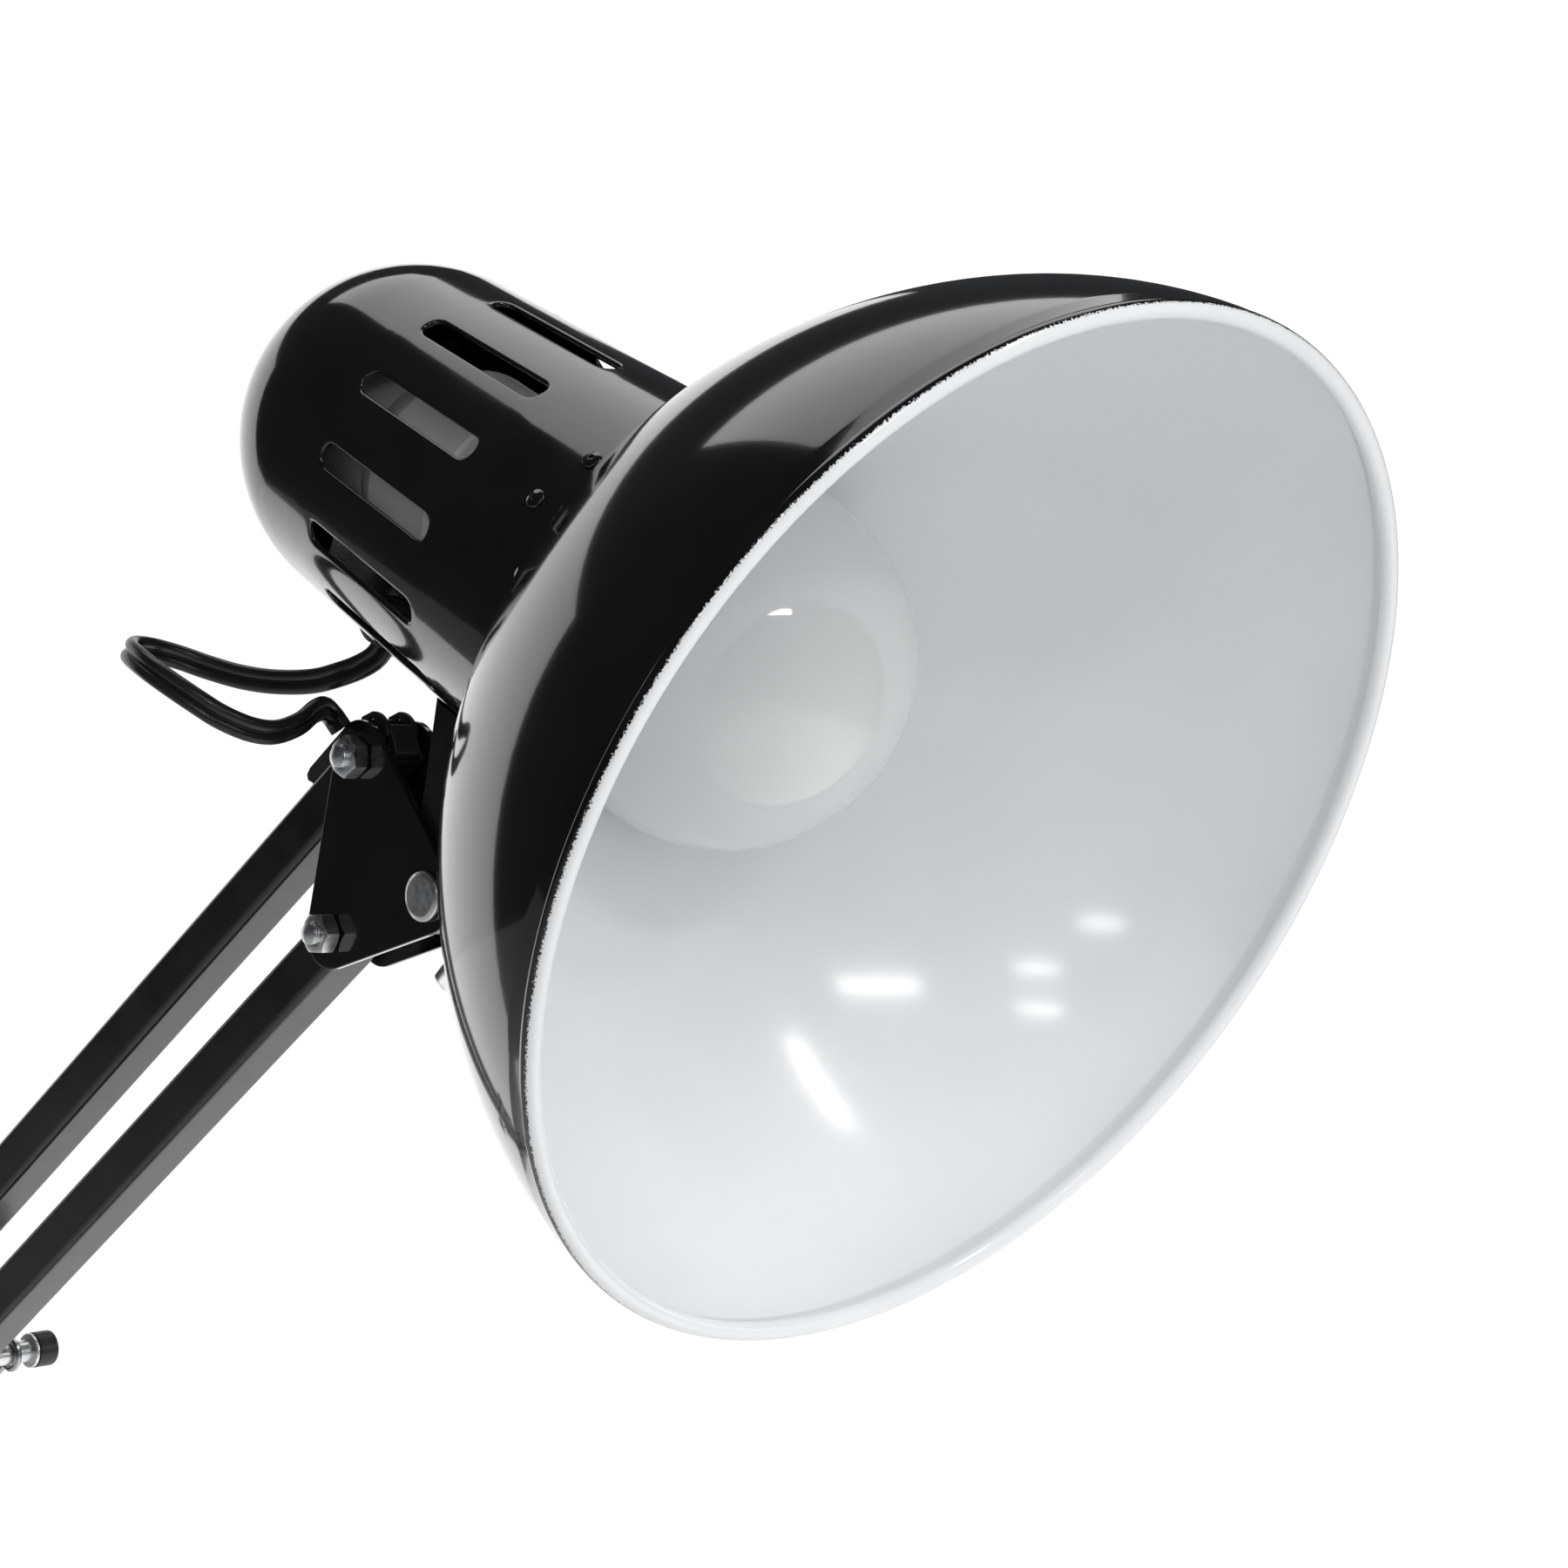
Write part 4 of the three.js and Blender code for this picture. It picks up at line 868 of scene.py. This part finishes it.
def make_guide():
    """Two cheeks and the moulding between them, open where the flex goes down into the bar."""
    nose = GUIDED_OVERHANG + GAP
    crown = arc((2.1, 2.95), 4.9, rad(-30), rad(55), 12)
    cheek = [(nose, 0.5), *crown, (1.9, 7.9), (-0.4, 6.9), (-2.2, 7), (-2.7, 8), (-3.3, 9.1), (-4.4, 9.35),
             (-16.6, 9.3), (-18.1, 8.8), (-18.5, 7.6), (-17.4, 6.2), (nose, 6.2)]
    bm = bmesh.new()
    for low in (-3.7, 2.6):
        plate(bm, cheek, low, low + 1.1, (), 0.25, SIDEWAYS)
    tail = rounded_loop([(-18.5, 6.2, 0.3), (-11, 6.2, 0.3), (-11, 9.2, 1), (-18.5, 9.2, 1)])
    plate(bm, tail, -2.9, 2.9, (), 0.25, SIDEWAYS)
    cap = rounded_loop([(nose, -3.2, 0.3), (nose + 1.5, -3.2, 0.8), (7, 2.9, 0.6), (nose, 2.9, 0.3)])
    plate(bm, cap, -2.9, 2.9, (), 0.25, SIDEWAYS)
    piece("guide_moulding", bm, "upper_top", *PLASTIC, ["cord_guide"],
          arm_frame(HEAD_HIGH, UPPER_ANGLE))


# ---- Flex ----
def in_arm(origin, angle, x, rise):
    return origin + Vector((math.cos(angle) * x - math.sin(angle) * rise, 0,
                            math.sin(angle) * x + math.cos(angle) * rise))


FLAT_RISE = 3.6
TUBE_MOUTH = TUBE_OVERHANG + GAP


def in_upper(x):
    return in_arm(ELBOW_HIGH, UPPER_ANGLE, x, FLAT_RISE)


def in_lower(x):
    return in_arm(BASE_REAR, LOWER_ANGLE, x, FLAT_RISE)


HEAD_LOOP = [HEAD_LOW + Vector(offset) for offset in [
    (8, 0, 54), (6.2, -0.9, 51.6), (3.2, -2.1, 49.9), (-1.4, -3.5, 48.5), (-7, -5, 47.4), (-14.3, -7.9, 47.3),
    (-20.6, -11.2, 48.2), (-27, -14.6, 50.1), (-31.4, -18.8, 52.2), (-32.8, -23.4, 53.4), (-31, -28.8, 53.7),
    (-26, -33.4, 52.8), (-19.4, -36, 50.9), (-13.8, -36.6, 48.6), (-9.2, -35, 45.7), (-5.2, -32.5, 42.7),
    (-2.2, -29.6, 40.1), (0.4, -24.6, 37.8), (1.4, -20.2, 37.4), (1.6, -15, 39), (-0.4, -10, 41.4),
    (-3, -5.6, 42), (-4.5, -2.5, 40.6), (-3.9, -1, 38.3),
]]
ELBOW_ROUTE = [
    in_upper(3 - TUBE_MOUTH), in_upper(-17), (-112.5, 0, 510), (-122, 0, 504.5), (-128.6, 0, 496),
    (-129.4, 0, 487), in_lower(ARM_LENGTH + 19), in_lower(ARM_LENGTH + TUBE_MOUTH - 3),
]
HOLE_RISE = 3.4
COVER_SLOPE = math.atan2(BASE_HEIGHT - 0.6 - 11.4, 95 - 26)
CLIP_FOOT = BASE_HEIGHT - 0.6 - (-CLIP_X - 26) * math.tan(COVER_SLOPE) + GAP + 0.1


def clip_point(x):
    return in_arm(Vector((CLIP_X, 0, CLIP_FOOT)), COVER_SLOPE, x, HOLE_RISE)


BASE_ROUTE = [
    in_lower(3 - TUBE_MOUTH), (-13.7, 0, 66), (-14, 0, 60.5), (-17.2, 0, 55.2), (-23, 0, 50.8),
    (-32, 0, 45.4), (-42, 0, 38.6), (-53, 0, 29.5), (-62, 0, 23), (-68.5, 0, 19.9), clip_point(6),
]
SWITCH_HEIGHT = 7.2
TABLE_HEIGHT = FLEX_WIDTH / 2 + GAP
SUPPLY_START = [
    clip_point(5.5), clip_point(0), clip_point(-6), clip_point(-12), (-98.5, 0, 14.3), (-104, 0, 11.8),
    (-109, 0, 8.8), (-115, 0, 7.4), (-121, 0, SWITCH_HEIGHT), (-150, 0, SWITCH_HEIGHT),
    (-179, 0, SWITCH_HEIGHT), (-185, 0.3, 6.2), (-193, 2.4, 3.9), (-200.5, 7.6, 2.9),
    (-206.5, 16, TABLE_HEIGHT), (-210.5, 27, TABLE_HEIGHT), (-212.3, 40, TABLE_HEIGHT),
    (-212.6, 54, TABLE_HEIGHT), (-212.5, 66, TABLE_HEIGHT),
]
PLUG = centre("plug")
PLUG_BACK = box("plug")[1].y
SUPPLY_END = [
    (-206, 94, 11.6), (-198, 106.5, 11.9), (-183, 112, 12), (-166, 110.5, 12), (-152, 104, 11.2),
    (-143.6, 94, 9.2), (PLUG.x, PLUG_BACK + 3, PLUG.z + 0.4), (PLUG.x, PLUG_BACK - 6, PLUG.z),
]
COIL_CENTRE = Vector((-176, 82, 0))
COIL_RADII = (31.3, 26.5, 21.7)


def coil_route():
    """Three turns to a layer, in from the outside and out again, each layer on the last."""
    turns = []
    for layer in range(3):
        radii = reversed(COIL_RADII) if layer == 1 else COIL_RADII
        turns += [Vector((radius, TABLE_HEIGHT + layer * FLEX_WIDTH)) for radius in radii]
    route = []
    per_turn = 48
    for turn, after in zip(turns, [*turns[1:], turns[-1]]):
        for k in range(per_turn):
            ease = max(0, k / per_turn * 4 - 3)
            radius, height = turn.lerp(after, ease * ease * (3 - 2 * ease))
            route.append(COIL_CENTRE + Vector(polar(radius, math.pi - TAU * k / per_turn, height)))
    return route


def supply_route():
    """From the clip through the switch to the coil, and out of the coil to the plug."""
    spacing = 2.4
    coil = coil_route()
    tail = smooth_route([coil[-1], *SUPPLY_END], spacing)
    return even(smooth_route(SUPPLY_START, spacing)[:-1] + coil + tail[1:], spacing)


# ---- Base ----
def make_base():
    bm = bmesh.new()
    lathe(bm, [(0, 0), (98, 0, 0.5), (98, 2, 0.5), (0, 2)], 128)
    piece("pad_disc", bm, "base", *RUBBER, ["base_pad"])

    bm = bmesh.new()
    wall = 1.5
    lip = 2 + GAP
    lathe(bm, [(BASE_RADIUS, lip), (BASE_RADIUS, 8, 3), (95, 11.4, 8), (26, BASE_HEIGHT - 0.6, 12),
               (20, BASE_HEIGHT), (8.4, BASE_HEIGHT), (8.4, BASE_HEIGHT - wall), (20, BASE_HEIGHT - wall),
               (26, BASE_HEIGHT - 2.1), (95, 9.9), (BASE_RADIUS - wall, 7), (BASE_RADIUS - wall, lip)],
          160, closed=True, steps=8)
    piece("cover_shell", bm, "base", *ENAMEL, ["base_cover"])

    bm = bmesh.new()
    bore = POST_RADIUS + GAP
    lathe(bm, [(0, 7), (8, 7), (8, BASE_HEIGHT + GAP), (19, BASE_HEIGHT + GAP, 0.3),
               (19, BASE_HEIGHT + 2.5, 0.9), (15, BASE_HEIGHT + 5, 2), (13, BASE_HEIGHT + 9, 3),
               (13, SOCKET_TOP, 1.2), (bore, SOCKET_TOP, 0.3), (bore, 25), (0, 25)], 96)
    piece("socket_turning", bm, "base", *SATIN, ["base_socket"])

    bm = bmesh.new()
    collar = SOCKET_TOP + GAP
    lathe(bm, [(0, 25.3), (POST_RADIUS, 25.3, 0.6), (POST_RADIUS, collar), (10, collar, 0.4),
               (10, collar + 3, 0.6), (0, collar + 3)], 72)
    plate(bm, rectangle(-5, -5.1, 13, 5.1, 0.8), collar + 2, 68, (), 0.4)
    piece("swivel_post_turning", bm, "base_bracket", *ZINC, ["swivel_post"])

    bm = bmesh.new()
    low, high = box("lock_screw")
    lobes = [polar(7.15 + 0.35 * math.cos(20 * TAU * k / 120), TAU * k / 120) for k in range(120)]
    plate(bm, lobes, 0, 9, (), 0.7)
    lathe(bm, [(0, -0.35), (3.4, -0.35), (3.8, 0.3), (0, 0.3)], 32)
    rod(bm, 2.5, 9, high.x - low.x)
    place = shifted((low.x, 0, 38)) @ ALONG_X
    piece("lock_knob", bm, "lock_screw", *PLASTIC, ["lock_screw"], place)


def make_clip():
    outline = [(-6, 0), (6, 0), *arc((0, HOLE_RISE), 4.6, rad(-18), rad(198), 24)]
    hole = circle((0, HOLE_RISE), FLEX_WIDTH / 2 + 0.4)
    bm = bmesh.new()
    plate(bm, outline, -4.5, 4.5, [hole], 0.5, ALONG_X)
    place = arm_frame((CLIP_X, 0, CLIP_FOOT), COVER_SLOPE)
    piece("clip_moulding", bm, "base", *PLASTIC, ["flex_clip"], place)


def make_switch():
    """Two half shells with a seam, a rocker in the upper one and a sleeve at each end."""
    quarter = [(30, 4.5), (26, 4.9), (22.5, 6.2), (19.5, 8.2), (16, 9.6), (12, 10)]
    half = quarter + [(-x, y) for x, y in reversed(quarter)]
    outline = half + [(-x, -y) for x, y in half]
    window = rectangle(-7.6, -4.9, 7.6, 4.9, 0.8)
    bm = bmesh.new()
    plate(bm, outline, 0.3, 7.1, (), 1.3)
    plate(bm, outline, 7.3, 14.4, [window], 1.3)
    for way in (1, -1):
        outward = Matrix.Translation((way * 29.5, 0, SWITCH_HEIGHT)) @ turned(90 * way, "Y")
        lathe(bm, [(2.5, -3), (3.9, -3), (3.9, -0.5, 0.3), (3.2, 0.4, 0.3), (2.5, 0.4)], 32, closed=True,
              place=outward)
    body = piece("switch_shells", bm, "base", *PLASTIC, ["switch_body"], shifted((SWITCH_X, 0, 0)))
    bm = bmesh.new()
    profile = rounded_loop([(-7, -0.4, 0.3), (0, -1.6, 2), (7, -0.4, 0.3), (7.2, 3.4, 0.5), (0, 2.4, 20),
                            (-7.2, 3.4, 0.5)], 8)
    plate(bm, profile, -4.5, 4.5, (), 0.35, SIDEWAYS)
    place = shifted((SWITCH_X, 0, 12.9)) @ turned(6, "Y")
    rocker = piece("rocker_cap", bm, "switch_rocker", *PLASTIC, ["switch_rocker"], place)
    return [body, rocker]


def make_plug():
    """Moulded two-blade plug with a ribbed strain relief."""
    place = shifted((PLUG.x, 58, PLUG.z))
    side = [(8, 0.3), (9.6, -3), (11, -7), (12, -12), (12.5, -18), (12.5, -28)]
    outline = [(-a, b) for a, b in side] + [(a, b) for a, b in reversed(side)]
    bm = bmesh.new()
    plate(bm, outline, -6.8, 6.8, (), 2.2)
    relief = [(0, -2), (4.8, -2), (4.8, 1)]
    for k in range(5):
        start = 1.4 + 3.7 * k
        radius = 4.5 - 0.34 * k
        relief += [(radius, start, 0.3), (radius, start + 2.3, 0.3), (radius - 0.9, start + 2.6, 0.2),
                   (radius - 0.9, start + 3.4, 0.2)]
    relief += [(2.5, 20), (0, 20)]
    lathe(bm, relief, 48, place=turned(-90, "X"))
    for k in range(3):
        rib = rectangle(-8.5, -10.6 - 4 * k, 8.5, -9 - 4 * k, 0)
        for side in (-6.3, 6.3):
            plate(bm, rib, side - 0.7, side + 0.7, (), 0.3)
    plug = piece("plug_moulding", bm, "base", "black_rubber", SHEATH[1], ["plug"], place)
    bm = bmesh.new()
    blade = [(-27, -3.1), (-27, 3.1), (-44, 3.1), (-45, 2.1), (-45, -2.1), (-44, -3.1)]
    hole = circle((-41.5, 0), 1.5, 20)
    for side in (-6.35, 6.35):
        plate(bm, blade, side - 0.75, side + 0.75, [hole], 0.15, ALONG_X)
    return [plug, piece("plug_blades", bm, "base", *NICKEL, (), place)]


def make_tie():
    """A strap round the coil's turns."""
    middle = (COIL_RADII[0] + COIL_RADII[2]) / 2
    outer = rectangle(middle - 8, 0.25, middle + 8, 15.2, 3, 6)
    inner = rectangle(middle - 7.4, 0.85, middle + 7.4, 14.6, 2.4, 6)
    bm = bmesh.new()
    rings = [[(r, y, z) for r, z in edge] for edge, y in ((inner, -3), (outer, -3), (outer, 3), (inner, 3))]
    loft(bm, rings, wrap=True, place=turned(-28, "Z"))
    return piece("coil_tie", bm, "base", *PLASTIC, (), shifted(COIL_CENTRE))


# ---- Everything in its place ----
def make_head():
    make_shade()
    make_housing()
    make_bulb()
    make_lampholder()
    make_neck_screws()
    make_grommet()
    make_lug()
    make_lug_screws()
    make_tilt_joint()


def make_arms():
    hole = BOLT_RADIUS + GAP
    make_plates("head", [HEAD_LOW, TILT, HEAD_HIGH],
                [(HEAD_LOW, hole), (TILT, TILT_BOLT_RADIUS + GAP), (HEAD_HIGH, hole)], "head_bracket")
    make_plates("elbow", [ELBOW_REAR, ELBOW_FRONT, ELBOW_HIGH, ELBOW_ANCHOR],
                [(p, hole) for p in (ELBOW_FRONT, ELBOW_REAR, ELBOW_HIGH, ELBOW_LOW)]
                + [(ELBOW_ANCHOR, PIN_RADIUS + GAP)], "elbow")
    near_anchor = [BASE_ANCHOR + Vector((dx, 0, 0)) for dx in (-2, 2)]
    make_plates("base", [*near_anchor, BASE_FRONT, BASE_REAR],
                [(BASE_FRONT, hole), (BASE_REAR, hole), (BASE_ANCHOR, PIN_RADIUS + GAP)], "base_bracket")
    for node, point, body, turn in [
        ("head_top_bolt", HEAD_HIGH, "head_bracket", 0), ("head_bottom_bolt", HEAD_LOW, "head_bracket", 30),
        ("elbow_top_bolt", ELBOW_HIGH, "elbow", 25), ("elbow_middle_bolt", ELBOW_LOW, "elbow", 50),
        ("elbow_front_bolt", ELBOW_FRONT, "elbow", 5), ("elbow_rear_bolt", ELBOW_REAR, "elbow", 33),
        ("base_front_bolt", BASE_FRONT, "base_bracket", 17),
        ("base_rear_bolt", BASE_REAR, "base_bracket", 44),
    ]:
        make_pivot_bolt(node, point, body, turn)
    make_bar("lower_front_bar", BASE_FRONT, LOWER_ANGLE, "lower_front")
    make_bar("lower_rear_bar", BASE_REAR, LOWER_ANGLE, "lower_rear")
    make_bar("upper_bottom_bar", ELBOW_LOW, UPPER_ANGLE, "upper_bottom")
    make_bar("upper_top_bar", ELBOW_HIGH, UPPER_ANGLE, "upper_top", GUIDED_OVERHANG)
    make_spring_pin("upper_spring_pin", UPPER_PIN, "upper_bottom")
    make_spring_pin("lower_spring_pin", LOWER_PIN, "lower_front")
    make_spring_pin("elbow_anchor_pin", ELBOW_ANCHOR, "elbow")
    make_spring_pin("base_anchor_pin", BASE_ANCHOR, "base_bracket")
    make_springs("upper_spring", ELBOW_ANCHOR, UPPER_PIN)
    make_springs("lower_spring", BASE_ANCHOR, LOWER_PIN)
    make_guide()


def make_flex_pair(names, points, share, nodes, side=(0, 1, 0)):
    """One flex as two pieces, each between two bodies. Gives the pieces and the first one's path."""
    route = smooth_route(points, 1.2)
    rings = sections(route, twin_outline(), side)
    path = [tuple(point * MM) for point in route]
    split = round((len(route) - 1) * share)
    parts = []
    for k, (first, last) in enumerate([(0, split), (split, len(route) - 1)]):
        bm = bmesh.new()
        loft(bm, rings[first:last + 1], caps=True)
        parts.append(piece(names[k], bm, None, *SHEATH, [nodes[k]]))
        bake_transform(parts[k])
    return parts, path[:split + 1]


def make_arm_flex():
    parts, path = make_flex_pair(("head_loop", "head_loop_end"), HEAD_LOOP, 0.85,
                                 ("head_loop_flex", "head_flex_end"),
                                 (0, 0, 1))
    make_flex_pair(("elbow_jumper_top", "elbow_jumper_bottom"), ELBOW_ROUTE, 0.58,
                   ("elbow_flex_upper", "elbow_flex_lower"))
    make_flex_pair(("base_jumper_top", "base_jumper_bottom"), BASE_ROUTE, 0.4,
                   ("base_flex", "swivel_flex"))


def make_supply():
    """The flex lies flat through the clip and the switch, and stands on its edge after them."""
    def roll(share):
        return rad(90) * max(0, min(1, (share - 0.09) / 0.05))
    route = supply_route()
    bm = bmesh.new()
    loft(bm, sections(route, twin_outline(), (0, 1, 0), roll), caps=True)
    supply = piece("supply_lead", bm, "base", *SHEATH, ["supply_flex", "supply_coil"])
    make_switch()
    make_plug()
    make_tie()


def finish_cad_nodes():
    """Materials for the CAD nodes that stay: those inside the base, the housing and the tubes."""
    for node, look in (("base_weight", IRON), ("holder_strap", ZINC), ("upper_arm_flex", SHEATH),
                       ("lower_arm_flex", SHEATH)):
        obj = frame["nodes"][node]
        obj.data.materials.clear()
        obj.data.materials.append(look[1])


# ---- Stage ----
def white_to_camera(tree, other, out):
    """Plain white where the camera looks; the other shader for everything else."""
    seen = tree.nodes.new("ShaderNodeEmission")
    seen.inputs["Strength"].default_value = 1.05
    mix = tree.nodes.new("ShaderNodeMixShader")
    path = tree.nodes.new("ShaderNodeLightPath")
    tree.links.new(path.outputs["Is Camera Ray"], mix.inputs["Fac"])
    tree.links.new(other, mix.inputs[1])
    tree.links.new(seen.outputs[0], mix.inputs[2])
    tree.links.new(mix.outputs[0], out.inputs["Surface"])


def make_stage():
    bm = bmesh.new()
    bmesh.ops.create_grid(bm, x_segments=1, y_segments=1, size=6 / MM)
    floor = bake("floor", bm)
    look = bpy.data.materials.new("pale_floor")
    look.use_nodes = True
    tree = look.node_tree
    shader = tree.nodes["Principled BSDF"]
    shader.inputs["Base Color"].default_value = (0.8, 0.8, 0.8, 1)
    shader.inputs["Roughness"].default_value = 0.9
    shader.inputs["Emission Color"].default_value = (1, 1, 1, 1)
    shader.inputs["Emission Strength"].default_value = 0.15
    white_to_camera(tree, shader.outputs[0], tree.nodes["Material Output"])
    floor.data.materials.append(look)

    world = bpy.data.worlds.new("studio")
    bpy.context.scene.world = world
    world.use_nodes = True
    tree = world.node_tree
    tree.nodes.clear()
    lit = tree.nodes.new("ShaderNodeBackground")
    lit.inputs["Color"].default_value = (0.95, 0.98, 1, 1)
    lit.inputs["Strength"].default_value = 0.04
    white_to_camera(tree, lit.outputs[0], tree.nodes.new("ShaderNodeOutputWorld"))


def area_light(name, towards, distance, size, power, aim=RIM):
    """A soft panel seen from the rim in the given direction, facing it."""
    data = bpy.data.lights.new(name, "AREA")
    data.shape = "RECTANGLE"
    data.size, data.size_y = size
    data.energy = power
    light = added(name, data)
    way = Vector(towards).normalized()
    light.location = aim * MM + way * distance
    light.rotation_euler = way.to_track_quat("Z", "Y").to_euler()
    return light


def make_lights():
    """Soft panels round the lamp and small bright windows in front. Three panels only light, unmirrored."""
    area_light("top_panel", (-0.35, 0.25, 1), 1.2, (1.1, 0.8), 4)
    area_light("left_panel", (-0.96, 0.27, 0.05), 1.2, (1.3, 1.2), 5)
    right = area_light("right_panel", (1, 0.3, 0.1), 1.3, (1.3, 1.5), 9)
    area_light("floor_panel", (0, 0, 1), 0.7, (1.7, 1.1), 11, Vector((300, 750, 0)))
    area_light("window_main", (0.7, 0.16, 0.7), 1.3, (0.1, 0.5), 2.6)
    area_light("window_front", (0.87, -0.22, 0.44), 1.3, (0.4, 0.07), 1.6)
    for k, towards in enumerate([(0.59, -0.72, 0.37), (0.54, -0.67, 0.51), (0.42, -0.89, 0.2)]):
        area_light(f"window_far_{k}", towards, 1.3, (0.2, 0.05), 0.6)
    fill = area_light("soft_fill", (0.65, -0.72, 0.3), 1.2, (0.9, 0.9), 4)
    key = area_light("soft_key", (0.7, 0.16, 0.7), 1.3, (0.35, 0.35), 2.5)
    for light in (right, fill, key):
        light.visible_glossy = False


def make_camera():
    data = bpy.data.cameras.new("camera")
    data.lens = 68.8
    data.sensor_width = 36
    data.clip_start = 0.01
    camera = added("camera", data)
    camera.location = (RIM + Vector((292.4, -350.9, 10.8))) * MM
    camera.rotation_euler = (rad(90), 0, rad(44.03))
    bpy.context.scene.camera = camera


make_camera()
make_head()
make_arms()
make_base()
make_clip()
make_arm_flex()
make_supply()
finish_cad_nodes()
make_stage()
make_lights()
bpy.context.scene.view_settings.view_transform = "Standard"
